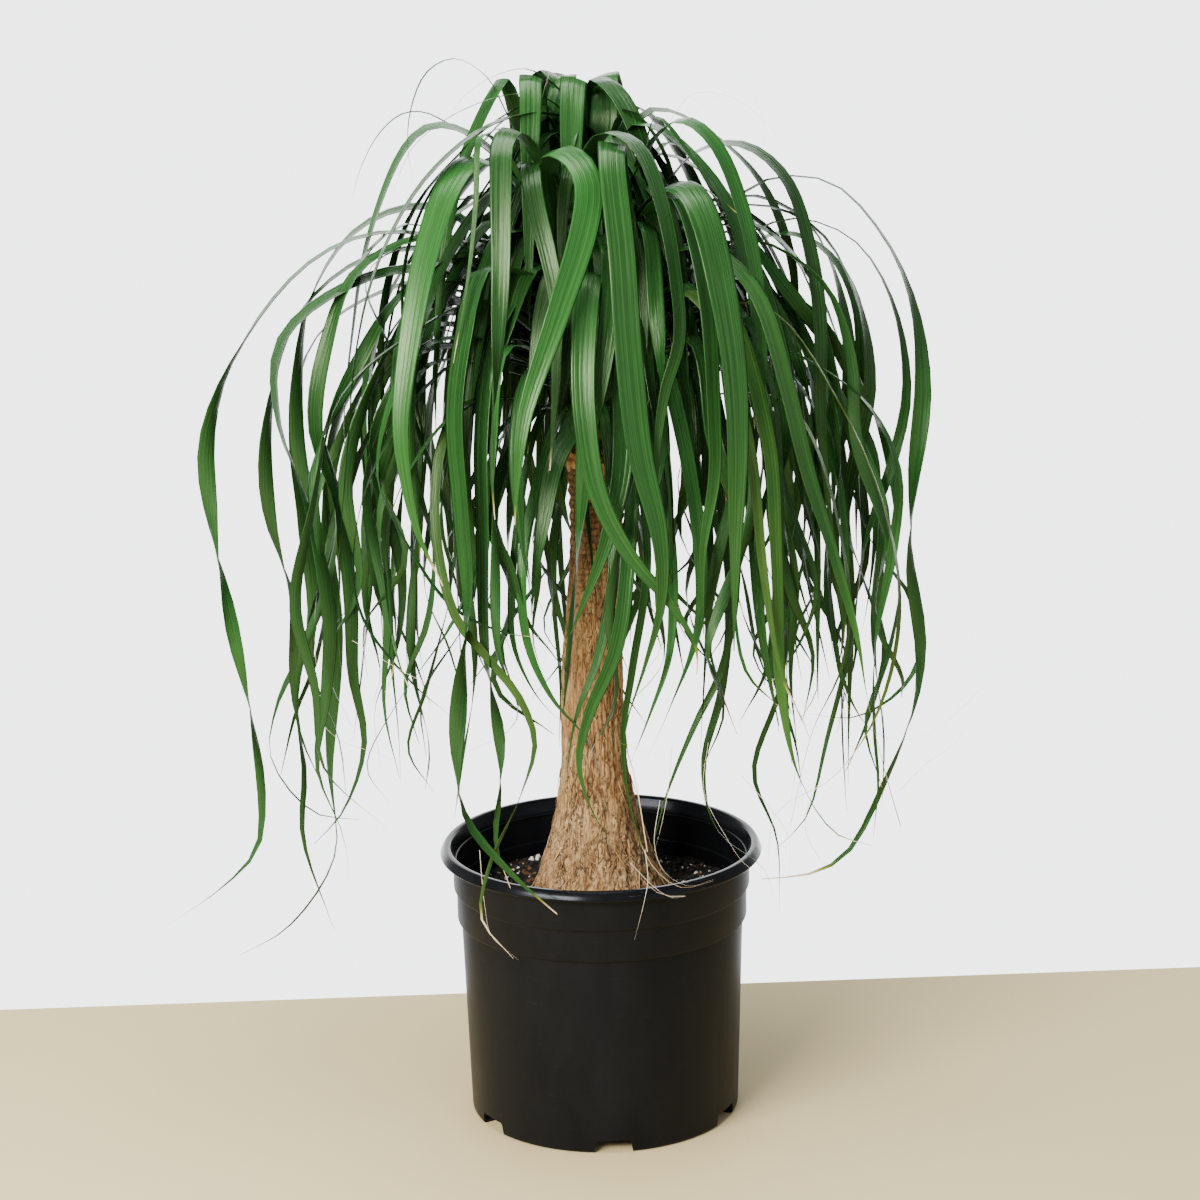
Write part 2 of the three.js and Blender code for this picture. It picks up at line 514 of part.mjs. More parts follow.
// The direction of a blade's width at each fine sample of its curve: level across its way at its highest
// point, where it folds over, and carried from there both ways
function widthsOf(curve) {
  const fine = SPACING.samples;
  const places = Array.from({ length: fine + 1 }, (_, i) => curve.getPointAt(i / fine));
  const tangents = places.map((_, i) => curve.getTangentAt(i / fine));
  const crest = places.reduce((best, place, i) => (place.z > places[best].z ? i : best), 0);
  const widths = [];
  widths[crest] = new THREE.Vector3(-tangents[crest].y, tangents[crest].x, 0).normalize();
  for (const step of [1, -1]) {
    for (let i = crest + step; i >= 0 && i <= fine; i += step) {
      const turn = new THREE.Quaternion().setFromUnitVectors(tangents[i - step], tangents[i]);
      widths[i] = widths[i - step].clone().applyQuaternion(turn);
    }
  }
  return widths;
}

// One strap leaf: a thin wedge of a section, its full thickness at one edge, carried along the route
function strapLeaf(route, width, [twistFrom, twist], steps) {
  const curve = new THREE.CatmullRomCurve3(route, false, "centripetal");
  curve.arcLengthDivisions = CURVE_FINENESS;
  const turnAt = (share) => THREE.MathUtils.smoothstep(share, twistFrom, 1) * THREE.MathUtils.degToRad(twist);
  const widths = widthsOf(curve);
  const rings = [];
  for (const share of stationsOf(curve, turnAt, steps)) {
    const tangent = curve.getTangentAt(share);
    const edge = widths[Math.round(share * SPACING.samples)].clone().applyAxisAngle(tangent, turnAt(share));
    const up = tangent.clone().cross(edge);
    const half = (width * widthAt(share)) / 2;
    const thick = BLADE.thick * mix(1, 0.6, share);
    const at = curve.getPointAt(share);
    rings.push([
      at.clone().addScaledVector(edge, -half),
      at.clone().addScaledVector(edge, half).addScaledVector(up, -thick / 2),
      at.clone().addScaledVector(edge, half).addScaledVector(up, thick / 2),
    ]);
  }
  return pointed(rings, curve.getPointAt(1));
}

// Three-point rings closed by a flat root and a point. The two walls that meet in the thin edge are cut into
// triangles alike, so that they never pass through each other where the blade twists.
function pointed(rings, tip) {
  const positions = [...rings.flat(), tip].flatMap((p) => [p.x, p.y, p.z]);
  const index = [0, 2, 1];
  for (let k = 0; k < 3; k++) {
    const next = (k + 1) % 3;
    for (let r = 0; r + 1 < rings.length; r++) {
      const [a, b] = [r * 3 + k, r * 3 + next];
      if (k === 2) index.push(a, b, a + 3, b, b + 3, a + 3);
      else index.push(a, b, b + 3, a, b + 3, a + 3);
    }
    const last = (rings.length - 1) * 3;
    index.push(last + k, last + next, rings.length * 3);
  }
  const geometry = new THREE.BufferGeometry();
  geometry.setAttribute("position", new THREE.Float32BufferAttribute(positions, 3));
  geometry.setIndex(index);
  return geometry;
}

// The routes of the rule-made leaves: oldest lowest and most drooping, youngest most upright
function fillLeaf(i, draw) {
  const age = i / (FILL.count - 1);
  const even = THREE.MathUtils.degToRad(FILL.turn * i + draw(-14, 14));
  const angle = even + FILL.crowdBack * Math.cos(even);
  const front = THREE.MathUtils.smoothstep(-Math.sin(angle), 0.2, 0.9);
  const crestReach = mix(...FILL.crestReach, age) * draw(0.8, 1.25) * mix(1, 0.72, front);
  const crest = mix(...FILL.crest, age) + draw(-16, 12);
  const hang = crestReach + mix(...FILL.hang, age) * draw(0.75, 1.3) * mix(1, 0.45, front);
  const drop = mix(...FILL.drop, age) * draw(0.7, 1.1);
  const sway = draw(-34, 34);
  const root = mix(...FILL.root, age);
  const spot = (reach, across, height) =>
    new THREE.Vector3(
      reach * Math.cos(angle) - across * Math.sin(angle),
      reach * Math.sin(angle) + across * Math.cos(angle),
      height,
    );
  return {
    width: draw(...FILL.width),
    twist: [0.45, draw(-160, 160)],
    route: [
      spot(7, 0, root),
      spot(crestReach * 0.42, 0, mix(root, crest, 0.66)),
      spot(crestReach, sway * 0.1, crest),
      spot(mix(crestReach, hang, 0.66), sway * 0.3, crest - drop * 0.2),
      spot(hang, sway * 0.7, crest - drop * 0.55),
      spot(hang * 1.02, sway * 1.3, crest - drop),
    ],
  };
}

function makeLeafCrown() {
  const core = turned(
    [
      [0, CORE.foot],
      [CORE.radius - 4, CORE.foot],
      [CORE.radius, CORE.foot + 16],
      [CORE.radius + 5, CORE.foot + 70],
      [CORE.radius + 4, CORE.foot + 120],
      [CORE.radius - 8, CORE.foot + 165],
      [0, CORE.foot + 190],
    ],
    CORE.sides,
  );
  const solids = [solidOf(core)];
  for (const [width, twist, ...seen] of [...TOP_LEAVES, ...FRONT_LEAVES, ...RIGHT_LEAVES, ...LEFT_LEAVES]) {
    const rings = BLADE.rings[seen.length < BLADE.longFrom ? 0 : 1];
    const steps = rings + Math.round(Math.abs(twist[1]) / BLADE.turnPerRing);
    solids.push(solidOf(strapLeaf(rooted(seen.map(placed)), width, twist, steps)));
  }
  const draw = makeDraw(2027);
  for (let i = 0; i < FILL.count; i++) {
    const { width, twist, route } = fillLeaf(i, draw);
    solids.push(solidOf(strapLeaf(route, width, twist, BLADE.fillRings)));
  }
  return joinAll(solids);
}

// Dry leaf bases: a sleeve round the neck with ragged husks that stand out of it
function makeDryLeafBases() {
  const inner = TRUNK.neckRadius + GAP;
  const low = TRUNK.top - 16;
  const high = TRUNK.top - 1;
  const sleeve = new THREE.LatheGeometry(
    [
      [inner, low],
      [inner + 2, low + 1],
      [inner + 2.6, high - 2],
      [inner, high],
      [inner, low],
    ].map(([radius, height]) => new THREE.Vector2(radius, height)),
    TRUNK.sides,
  );
  sleeve.rotateX(Math.PI / 2).rotateZ(-Math.PI / 2);
  const draw = makeDraw(77);
  const solids = [solidOf(sleeve)];
  for (let i = 0; i < 15; i++) {
    const angle = (2 * Math.PI * (i + draw(-0.3, 0.3))) / 15;
    const droops = draw(0, 1) < 0.4;
    const reach = draw(8, 17);
    const end = droops ? low - draw(2, 16) : high + draw(-6, -1);
    const spot = (radius, height) =>
      new THREE.Vector3(radius * Math.cos(angle), radius * Math.sin(angle), height);
    const route = [
      spot(inner + 1.2, low + 3),
      spot(inner + 3, mix(low, high, 0.5)),
      spot(inner + reach * 0.7, mix(high - 3, end, 0.4)),
      spot(inner + reach, end),
    ];
    solids.push(solidOf(strapLeaf(route, draw(6, 10), [0, draw(-40, 40)], BLADE.huskRings)));
  }
  return joinAll(solids).translate([TRUNK.neckAcross, 0, 0]);
}

const FINISH = {
  pot: { color: 0x242524, roughness: 0.42, metalness: 0 },
  soil: { color: 0x1d1712, roughness: 0.95, metalness: 0 },
  trunk: { color: 0xb08b60, roughness: 0.85, metalness: 0 },
  dry_leaf_bases: { color: 0xa86a34, roughness: 0.8, metalness: 0 },
  leaf_crown: { color: 0x2f7a2c, roughness: 0.38, metalness: 0 },
};
const BODIES = {
  pot: makePot(),
  soil: makeSoil(),
  trunk: makeTrunk(),
  dry_leaf_bases: makeDryLeafBases(),
  leaf_crown: makeLeafCrown(),
};

const palm = new THREE.Group();
for (const [name, solid] of Object.entries(BODIES)) {
  const mesh = new THREE.Mesh(geometryOf(solid), new THREE.MeshStandardMaterial(FINISH[name]));
  mesh.name = name;
  palm.add(mesh);
}

export default palm;
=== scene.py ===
"""A ponytail palm in a black nursery pot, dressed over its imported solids.

Metres, +Z up, the origin under the middle of the pot, the viewer on the -Y side.
"""

import math

import bmesh
import bpy
import numpy as np
from bpy.props import FloatProperty, FloatVectorProperty, IntProperty, PointerProperty
from mathutils import Matrix, Quaternion, Vector, noise


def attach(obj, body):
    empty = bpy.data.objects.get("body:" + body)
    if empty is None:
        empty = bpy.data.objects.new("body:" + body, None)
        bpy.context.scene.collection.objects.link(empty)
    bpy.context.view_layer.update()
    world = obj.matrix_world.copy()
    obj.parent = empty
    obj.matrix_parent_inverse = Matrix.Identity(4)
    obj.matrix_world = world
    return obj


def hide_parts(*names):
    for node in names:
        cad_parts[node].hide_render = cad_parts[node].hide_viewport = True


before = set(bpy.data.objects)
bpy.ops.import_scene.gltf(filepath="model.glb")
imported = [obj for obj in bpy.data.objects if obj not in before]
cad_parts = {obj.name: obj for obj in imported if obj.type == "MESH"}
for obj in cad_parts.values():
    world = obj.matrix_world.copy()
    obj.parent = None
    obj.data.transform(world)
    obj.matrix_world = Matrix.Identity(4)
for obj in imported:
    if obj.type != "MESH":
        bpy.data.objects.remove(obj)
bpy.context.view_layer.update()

bl_info = {
    "name": "Potted ponytail palm",
    "version": (1, 0, 0),
    "blender": (4, 5, 0),
    "location": "View3D > Sidebar > Palm",
    "description": "Dresses the packed solids of a potted ponytail palm",
    "category": "Object",
}

MM = 0.001
BODY = "root"

# Pot, in millimetres
RIM_RADIUS = 135
POT_HEIGHT = 233
LIP_UNDERSIDE = 224.6
BAND_RADIUS = (124.4, 121.9)
BAND_FOOT = (197, 169.5)
SHOULDER_RADIUS = 118.5
FOOT_RADIUS = 113.6
FOOT_ROUNDING = 3.4
POT_WALL = 2.1
POT_FLOOR = 2.2
NOTCH_COUNT = 6
NOTCH_TURN_DEG = 3
NOTCH_FOOT_WIDTH = 33
NOTCH_TOP_WIDTH = 28
NOTCH_HEIGHT = 11
NOTCH_REACH = 28

# Soil, in millimetres: it stands a hair clear of the pot's wall and floor
SOIL_LEVEL = 185
SOIL_GAP = 0.4

# Lumps that lie on the soil beside the trunk: place across, place behind and size, in millimetres
PERLITE_LUMPS = [
    (-55, 96, 5.4), (-60.5, 92, 4.6), (-55.5, 90, 4.2), (-50, 94, 3.0), (70, 62, 3.2), (-72, 71, 2.8),
]
BARK_LUMPS = [
    (-69, 82, 6.5), (-62, 68, 5.5), (-76, 69, 6.0), (-66, 75, 4.5), (-81, 60, 5.0), (84, 50, 5.5),
]

# The ring of soil that grains are strewn over, and how high they lie, in metres
GRAIN_RING = (0.050, 0.1165)
GRAIN_LIFT = 0.0004

# Trunk, in millimetres. Its outline holds heights, radii and how far its middle stands across from the
# pot's axis.
TRUNK_OUTLINE = [
    (108, 26, 0), (128, 46, 0), (156, 58, 0), (185, 62.5, 0), (193, 57, 0), (208, 49.5, -1),
    (224, 43.9, -2), (242, 38.5, -2), (265, 33.1, -2.5), (292, 28.6, -3.6), (321, 26.3, -4.4),
    (375, 25.6, -4.4), (425, 22.9, -2.6), (478, 20.9, -0.6), (520, 21.8, 1), (545, 24.4, 2.6),
    (556, 25.5, 3), (573, 25.5, 3),
]
TRUNK_FOOT = 108
TRUNK_TOP = 573
NECK_RADIUS = 25.5
NECK_ACROSS = 3
HUSK_GAP = 0.35
HUSK_WIDTH = (6, 10)

# Fine roots on the trunk's foot, in millimetres
FINE_ROOT_COUNT = 110
FINE_ROOT_LENGTH = (8, 30)
FINE_ROOT_WIDTH = (0.6, 1.4)

# The head's core: radius and height of its outline in millimetres, and what the leaf finish reads on it
CORE_RADIUS = 33
CORE_OUTLINE = [
    (0, TRUNK_TOP + 1), (CORE_RADIUS - 6, TRUNK_TOP + 1), (CORE_RADIUS - 3, 592),
    (CORE_RADIUS + 1, 645), (CORE_RADIUS, 690), (CORE_RADIUS - 12, 735), (0, 758),
]
CORE_LOOKS = {"along": 0.1, "across": 0.5, "under": 0.0, "tone": -0.4, "dry": 1.5, "straw": 0.0}

# The leaf routes are read on the upright plane through the trunk: across, up and, third, how far behind
# that plane the leaf lies, in millimetres. The eye is 2.4 m away, so a point that lies nearer or
# farther slides along the line to the eye. Its angles are in degrees, and its lens is in millimetres.
EYE_BACK = 2400
EYE_UP = 1027
EYE_TILT = 13.73
EYE_SWING = 0.07
EYE_ROLL = 1.03
EYE_LENS = 90
EYE_SENSOR = 36


def linear(code):
    """An sRGB hex colour as linear red, green, blue and alpha."""
    parts = [int(code[i : i + 2], 16) / 255 for i in (1, 3, 5)]
    return [c / 12.92 if c <= 0.04045 else ((c + 0.055) / 1.055) ** 2.4 for c in parts] + [1.0]


def mix(a, b, share):
    """The value that lies a share of the way from one to another."""
    return a + (b - a) * share


def smoothstep(value, low, high):
    """0 up to the low value, 1 from the high one on, and a smooth rise between."""
    share = min(1.0, max(0.0, (value - low) / (high - low)))
    return share * share * (3 - 2 * share)


def make_draw(seed):
    """Park and Miller's generator: the same draws on every run."""
    state = [seed]

    def draw(low, high):
        state[0] = (state[0] * 16807) % 2147483647
        return low + (high - low) * state[0] / 2147483647

    return draw


# Each leaf: width, then [where its twist starts along it, total twist in degrees], then its route after
# the root
TOP_LEAVES = [
    [6, [0.5, 0], [-35, 770, -5], [-66, 842, -20], [-80, 868, -30], [-104, 882, -40],
        [-126, 872, -48], [-140, 842, -55], [-143, 813, -58], [-140, 787, -60]],
    [5, [0.5, 0], [-5, 830, 0], [-44, 872, -25], [-73, 868, -35], [-100, 850, -42], [-117, 820, -50]],
    [5, [0.5, 0], [-10, 825, 5], [-38, 852, -20], [-68, 852, -35], [-98, 842, -45], [-118, 831, -52],
        [-140, 812, -58], [-160, 770, -64]],
    [6, [0.5, 0], [-70, 800, 15], [-112, 832, 15], [-132, 841, 15], [-148, 839, 12], [-165, 825, 10],
        [-180, 800, 8], [-192, 765, 5]],
    [17, [0.3, 25], [12, 800, 10], [0, 822, -5], [-20, 835, -22], [-45, 838, -38], [-70, 832, -52],
        [-100, 815, -66], [-138, 777, -84], [-172, 715, -98], [-190, 650, -103], [-200, 570, -104],
        [-212, 470, -104]],
    [18, [0.3, 20], [-45, 770, 5], [-80, 812, 0], [-112, 830, -5], [-130, 828, -8], [-148, 808, -12],
        [-178, 735, -20], [-192, 665, -26], [-202, 590, -28], [-200, 530, -28]],
    [26, [0.5, 0], [-35, 745, -15], [-65, 790, -40], [-90, 803, -60], [-108, 787, -80],
        [-130, 730, -105], [-146, 660, -125], [-156, 590, -137], [-154, 550, -140], [-145, 500, -140],
        [-126, 455, -140]],
    [20, [0.6, -150], [-20, 745, -25], [-40, 800, -60], [-58, 826, -85], [-68, 815, -105],
        [-70, 780, -120], [-72, 710, -138], [-78, 635, -150], [-84, 560, -158], [-82, 510, -158]],
    [27, [0.6, 30], [-22, 735, -35], [-32, 785, -60], [-27, 810, -76], [-8, 800, -95], [0, 780, -108],
        [-5, 745, -121], [-27, 678, -140], [-54, 600, -155], [-61, 560, -160], [-66, 505, -158]],
    [22, [0.62, 60], [18, 750, -40], [20, 800, -75], [19, 815, -90], [19, 790, -108], [25, 725, -128],
        [29, 650, -142], [37, 565, -152], [53, 490, -158], [53, 435, -158], [38, 380, -155],
        [22, 325, -150], [30, 285, -149], [39, 222, -145]],
    [21, [0.6, 40], [-2, 750, -30], [0, 800, -55], [12, 822, -70], [28, 820, -82], [41, 808, -92],
        [58, 760, -112], [68, 700, -126], [70, 655, -132], [58, 612, -138], [51, 560, -142],
        [52, 510, -142]],
    [22, [0.3, 20], [2, 780, 35], [5, 845, 28], [9, 865, 18], [20, 857, 2], [31, 840, -10],
        [45, 800, -28], [54, 720, -38], [58, 630, -41]],
    [25, [0.5, 0], [-10, 790, 15], [-11, 850, 5], [-10, 867, -8], [-12, 848, -24], [-14, 800, -42],
        [-15, 730, -54], [-15, 670, -58]],
    [15, [0.3, -20], [-50, 800, 5], [-60, 850, -8], [-66, 866, -18], [-76, 850, -28], [-98, 803, -44],
        [-116, 730, -58], [-126, 640, -65], [-128, 580, -68]],
    [22, [0.5, 0], [-38, 800, -5], [-42, 855, -15], [-44, 868, -26], [-45, 848, -40], [-47, 790, -56],
        [-49, 720, -65], [-50, 670, -68]],
    [19, [0.5, 30], [-10, 800, 30], [-22, 858, 20], [-30, 871, 24], [-44, 850, 55], [-60, 780, 80],
        [-68, 690, 92]],
    [8, [0.4, 0], [-50, 780, -50], [-74, 818, -73], [-85, 822, -85], [-90, 770, -98],
        [-97, 715, -106], [-112, 640, -112]],
    [7, [0.4, 30], [43, 800, -60], [54, 834, -68], [66, 824, -74], [83, 800, -80], [104, 770, -86],
        [125, 750, -90]],
    [22, [0.5, 20], [-16, 780, 5], [-26, 813, 2], [-23, 848, 6], [-18, 867, 22], [-22, 852, 62],
        [-34, 790, 96], [-44, 700, 112], [-50, 600, 116]],
    [24, [0.5, -20], [8, 790, 10], [12, 820, 8], [14, 852, 14], [14, 868, 34], [20, 848, 70],
        [28, 790, 98], [36, 700, 112], [40, 600, 116]],
    [18, [0.5, 0], [-30, 780, 10], [-44, 818, 6], [-46, 849, 8], [-41, 867, 22], [-44, 850, 56],
        [-52, 790, 86], [-60, 700, 100]],
    [18, [0.5, 20], [-26, 760, -42], [-44, 800, -62], [-46, 790, -84], [-42, 762, -98],
        [-34, 728, -110], [-28, 690, -118], [-30, 620, -126], [-36, 550, -130]],
    [15, [0.4, 40], [30, 770, -5], [45, 800, -8], [64, 829, -14], [88, 822, -20], [112, 790, -28],
        [128, 730, -36], [136, 650, -42], [140, 570, -46]],
]
FRONT_LEAVES = [
    [24, [0.55, 330], [-60, 712, -70], [-86, 717, -88], [-101, 665, -108], [-111, 600, -120],
        [-108, 515, -132], [-105, 440, -140], [-114, 365, -146], [-120, 300, -149], [-113, 254, -151],
        [-75, 204, -154], [-38, 168, -157]],
    [20, [0.66, 360], [-30, 690, -35], [-60, 692, -65], [-80, 650, -90], [-90, 580, -112],
        [-91, 500, -124], [-92, 405, -133], [-83, 325, -138], [-84, 280, -140], [-88, 232, -142],
        [-77, 192, -143]],
    [20, [0.7, 60], [-30, 640, -60], [-50, 630, -95], [-62, 575, -116], [-61, 510, -127],
        [-54, 445, -132], [-52, 420, -133]],
    [19, [0.6, 30], [-5, 610, -45], [-18, 582, -75], [-32, 555, -98], [-42, 508, -115],
        [-50, 462, -122], [-54, 428, -124]],
    [11, [0.6, 60], [-70, 560, -90], [-83, 505, -116], [-70, 470, -122], [-57, 424, -127],
        [-37, 396, -129], [-19, 366, -131], [-10, 345, -131]],
    [10, [0.6, 180], [-110, 600, -85], [-130, 530, -110], [-117, 431, -132], [-92, 395, -138],
        [-65, 358, -144], [-53, 319, -147], [-67, 271, -149], [-94, 212, -151], [-102, 165, -153],
        [-76, 129, -156]],
    [11, [0.6, 60], [-40, 560, -90], [-60, 470, -122], [-57, 405, -130], [-38, 358, -134],
        [-10, 322, -136], [3, 285, -136], [8, 257, -136]],
    [8, [0.6, 60], [-70, 440, -120], [-65, 390, -128], [-35, 341, -134], [0, 330, -137],
        [17, 318, -138], [48, 308, -139]],
    [12, [0.6, 120], [30, 560, -100], [26, 470, -128], [15, 398, -140], [-8, 343, -145],
        [-17, 300, -147], [-5, 255, -149], [24, 209, -151], [50, 184, -153], [70, 182, -153]],
    [9, [0.6, 60], [15, 470, -118], [0, 390, -130], [-18, 343, -135], [-27, 290, -138],
        [-24, 245, -140], [-16, 214, -140]],
    [8, [0.6, 60], [42, 480, -118], [28, 380, -130], [20, 325, -134], [24, 268, -137],
        [42, 211, -140], [66, 190, -134], [94, 195, -113]],
    [21, [0.5, 0], [2, 690, -75], [0, 712, -100], [-6, 660, -128], [-7, 600, -143], [3, 530, -151],
        [28, 478, -155], [61, 436, -155], [82, 398, -153], [82, 375, -152]],
    [22, [0.5, 30], [14, 730, -60], [18, 728, -90], [15, 680, -112], [7, 622, -126], [-2, 575, -133],
        [-6, 535, -135]],
    [22, [0.5, 0], [28, 660, -70], [26, 620, -105], [22, 545, -128], [8, 487, -138], [-10, 440, -140],
        [-22, 412, -138]],
    [27, [0.6, 60], [40, 750, -45], [62, 778, -75], [80, 776, -95], [92, 752, -112], [105, 695, -129],
        [114, 635, -139], [117, 575, -145], [115, 480, -148], [113, 395, -147]],
    [19, [0.6, 60], [35, 730, -40], [58, 768, -72], [72, 770, -90], [84, 735, -110], [93, 680, -124],
        [97, 610, -132], [98, 545, -135], [88, 480, -136], [88, 410, -134]],
    [22, [0.6, 30], [25, 690, -40], [40, 712, -62], [47, 675, -84], [50, 600, -98], [58, 510, -106],
        [63, 430, -109]],
    [18, [0.6, 60], [70, 640, -60], [100, 650, -90], [122, 590, -110], [128, 510, -120],
        [136, 410, -128], [150, 330, -130]],
    [17, [0.6, 40], [60, 690, -50], [108, 690, -80], [142, 625, -95], [151, 545, -105],
        [150, 455, -110], [138, 365, -112]],
]
RIGHT_LEAVES = [
    [18, [0.3, 40], [30, 770, -25], [50, 812, -45], [75, 832, -62], [100, 812, -76], [121, 762, -88],
        [133, 705, -96], [138, 630, -101], [137, 550, -103]],
    [19, [0.25, 70], [55, 770, -12], [85, 805, -22], [122, 811, -31], [155, 785, -39],
        [174, 732, -46], [184, 665, -51], [184, 600, -54], [190, 530, -56], [198, 470, -56]],
    [17, [0.32, 470], [90, 740, 10], [138, 781, 5], [191, 780, -5], [232, 739, -14], [257, 685, -20],
        [267, 615, -24], [261, 530, -27], [259, 470, -29], [267, 395, -31], [262, 345, -34],
        [240, 285, -40], [206, 217, -54], [176, 200, -62], [134, 196, -70]],
    [11, [0.3, 300], [70, 700, 20], [134, 743, 15], [167, 751, 9], [211, 733, 0], [241, 685, -7],
        [254, 612, -12], [243, 551, -16], [222, 486, -20], [210, 400, -24], [190, 318, -30],
        [172, 249, -37], [147, 222, -42]],
    [15, [0.45, 180], [110, 715, 45], [150, 740, 40], [186, 727, 35], [212, 685, 30], [218, 620, 27],
        [216, 550, 25], [218, 495, 25]],
    [11, [0.35, 260], [90, 645, -35], [130, 655, -48], [179, 634, -60], [225, 596, -69],
        [247, 545, -74], [244, 480, -77], [230, 395, -79], [230, 320, -80], [233, 280, -80],
        [229, 232, -80]],
    [10, [0.4, 150], [120, 630, 30], [150, 625, 28], [197, 606, 24], [226, 565, 20], [230, 500, 18],
        [222, 425, 16], [216, 400, 16]],
    [19, [0.62, 200], [55, 722, -60], [95, 728, -85], [132, 692, -110], [155, 620, -126],
        [173, 545, -132], [195, 475, -135], [215, 405, -136], [224, 350, -136], [240, 283, -134],
        [252, 240, -131]],
    [19, [0.4, 60], [50, 690, -15], [95, 690, -25], [135, 655, -35], [181, 593, -47], [200, 529, -53],
        [206, 455, -57], [204, 400, -58]],
    [9, [0.5, 180], [150, 650, 35], [205, 540, 25], [230, 478, 18], [257, 440, 14], [268, 395, 10],
        [252, 360, 7], [212, 336, 4], [172, 341, 2]],
    [11, [0.5, 200], [150, 640, -10], [184, 540, -22], [192, 440, -27], [203, 370, -30],
        [228, 324, -32], [262, 316, -34], [300, 340, -35], [315, 357, -35]],
    [10, [0.5, 150], [140, 680, -75], [200, 600, -90], [240, 500, -98], [249, 420, -100],
        [232, 340, -102], [195, 284, -101], [148, 255, -96], [140, 205, -95]],
    [15, [0.6, 150], [100, 690, -90], [140, 580, -120], [148, 470, -130], [152, 362, -133],
        [168, 283, -134], [198, 235, -132], [228, 224, -130]],
    [12, [0.5, 60], [85, 690, -100], [124, 580, -128], [138, 460, -137], [153, 372, -142],
        [173, 329, -144]],
    [8, [0.5, 90], [110, 650, -55], [162, 510, -76], [181, 448, -82], [168, 402, -84],
        [140, 362, -85]],
    [9, [0.5, 90], [160, 600, -95], [207, 450, -106], [202, 380, -110], [178, 325, -112],
        [159, 242, -112]],
    [15, [0.5, 120], [50, 650, -85], [84, 500, -122], [84, 415, -131], [60, 348, -135],
        [41, 306, -136]],
    [12, [0.5, 90], [30, 640, -65], [60, 500, -104], [60, 395, -116], [43, 342, -120],
        [26, 300, -122]],
    [10, [0.5, 120], [80, 660, -55], [116, 490, -90], [104, 385, -99], [80, 332, -103],
        [58, 278, -105], [42, 222, -96]],
    [10, [0.5, 150], [70, 640, -35], [108, 460, -70], [103, 365, -80], [87, 295, -86], [98, 240, -90],
        [137, 205, -95], [146, 178, -96]],
    [9, [0.5, 150], [90, 680, 20], [150, 500, 14], [152, 370, 10], [129, 290, 7], [148, 232, 5],
        [150, 168, 4]],
]
LEFT_LEAVES = [
    [17, [0.36, 560], [-40, 700, -5], [-100, 735, -12], [-170, 745, -20], [-225, 722, -26],
        [-285, 652, -33], [-313, 583, -37], [-314, 514, -39], [-303, 435, -43], [-289, 355, -47],
        [-283, 275, -50], [-290, 230, -51], [-322, 196, -53], [-378, 158, -55]],
    [15, [0.36, 500], [-50, 690, 15], [-120, 730, 20], [-180, 725, 25], [-235, 680, 29],
        [-264, 590, 32], [-266, 514, 33], [-250, 440, 33], [-252, 360, 33], [-246, 300, 33],
        [-250, 240, 33], [-227, 158, 33]],
    [19, [0.4, 200], [-60, 680, -20], [-130, 715, -35], [-190, 705, -48], [-250, 660, -60],
        [-254, 595, -70], [-233, 522, -76], [-220, 430, -79], [-226, 365, -80], [-236, 300, -80],
        [-216, 240, -80], [-212, 198, -80]],
    [19, [0.4, 160], [-60, 700, -5], [-105, 738, -15], [-150, 752, -26], [-203, 690, -41],
        [-222, 610, -51], [-209, 530, -58], [-202, 450, -61], [-203, 380, -62], [-196, 320, -62],
        [-216, 262, -62], [-241, 234, -62]],
    [15, [0.4, 200], [-40, 680, 30], [-110, 710, 50], [-215, 670, 75], [-243, 600, 83],
        [-238, 510, 86], [-236, 420, 86], [-266, 360, 86], [-274, 310, 86], [-240, 262, 86],
        [-202, 255, 86]],
    [15, [0.4, 160], [-40, 660, -35], [-85, 690, -60], [-150, 660, -90], [-204, 612, -105],
        [-230, 520, -113], [-248, 440, -116], [-235, 370, -116], [-230, 300, -116],
        [-178, 246, -116]],
    [19, [0.4, 200], [-60, 650, 40], [-120, 680, 60], [-200, 610, 85], [-218, 510, 93],
        [-216, 420, 95], [-226, 300, 95], [-224, 225, 95], [-266, 161, 95], [-307, 137, 95]],
    [7, [0.4, 90], [-110, 640, -60], [-185, 540, -85], [-196, 440, -96], [-155, 374, -102],
        [-122, 343, -104]],
    [8, [0.4, 90], [-110, 600, -90], [-165, 520, -107], [-169, 425, -112], [-170, 380, -113],
        [-177, 365, -113]],
    [6, [0.4, 90], [-80, 520, -80], [-116, 428, -100], [-167, 355, -108], [-194, 300, -111],
        [-177, 270, -111]],
    [8, [0.4, 120], [-100, 540, -110], [-124, 430, -122], [-143, 365, -126], [-159, 315, -128],
        [-139, 278, -128]],
    [11, [0.4, 90], [-90, 660, -60], [-140, 650, -85], [-176, 550, -108], [-153, 490, -116],
        [-118, 437, -125], [-75, 414, -133], [-48, 410, -137]],
    [15, [0.4, 60], [-70, 700, -10], [-140, 735, -20], [-180, 712, -30], [-163, 655, -42],
        [-140, 580, -52], [-112, 490, -62], [-102, 450, -64]],
    [18, [0.4, 60], [-70, 670, 20], [-130, 680, 30], [-180, 620, 42], [-184, 540, 48],
        [-176, 460, 52]],
]

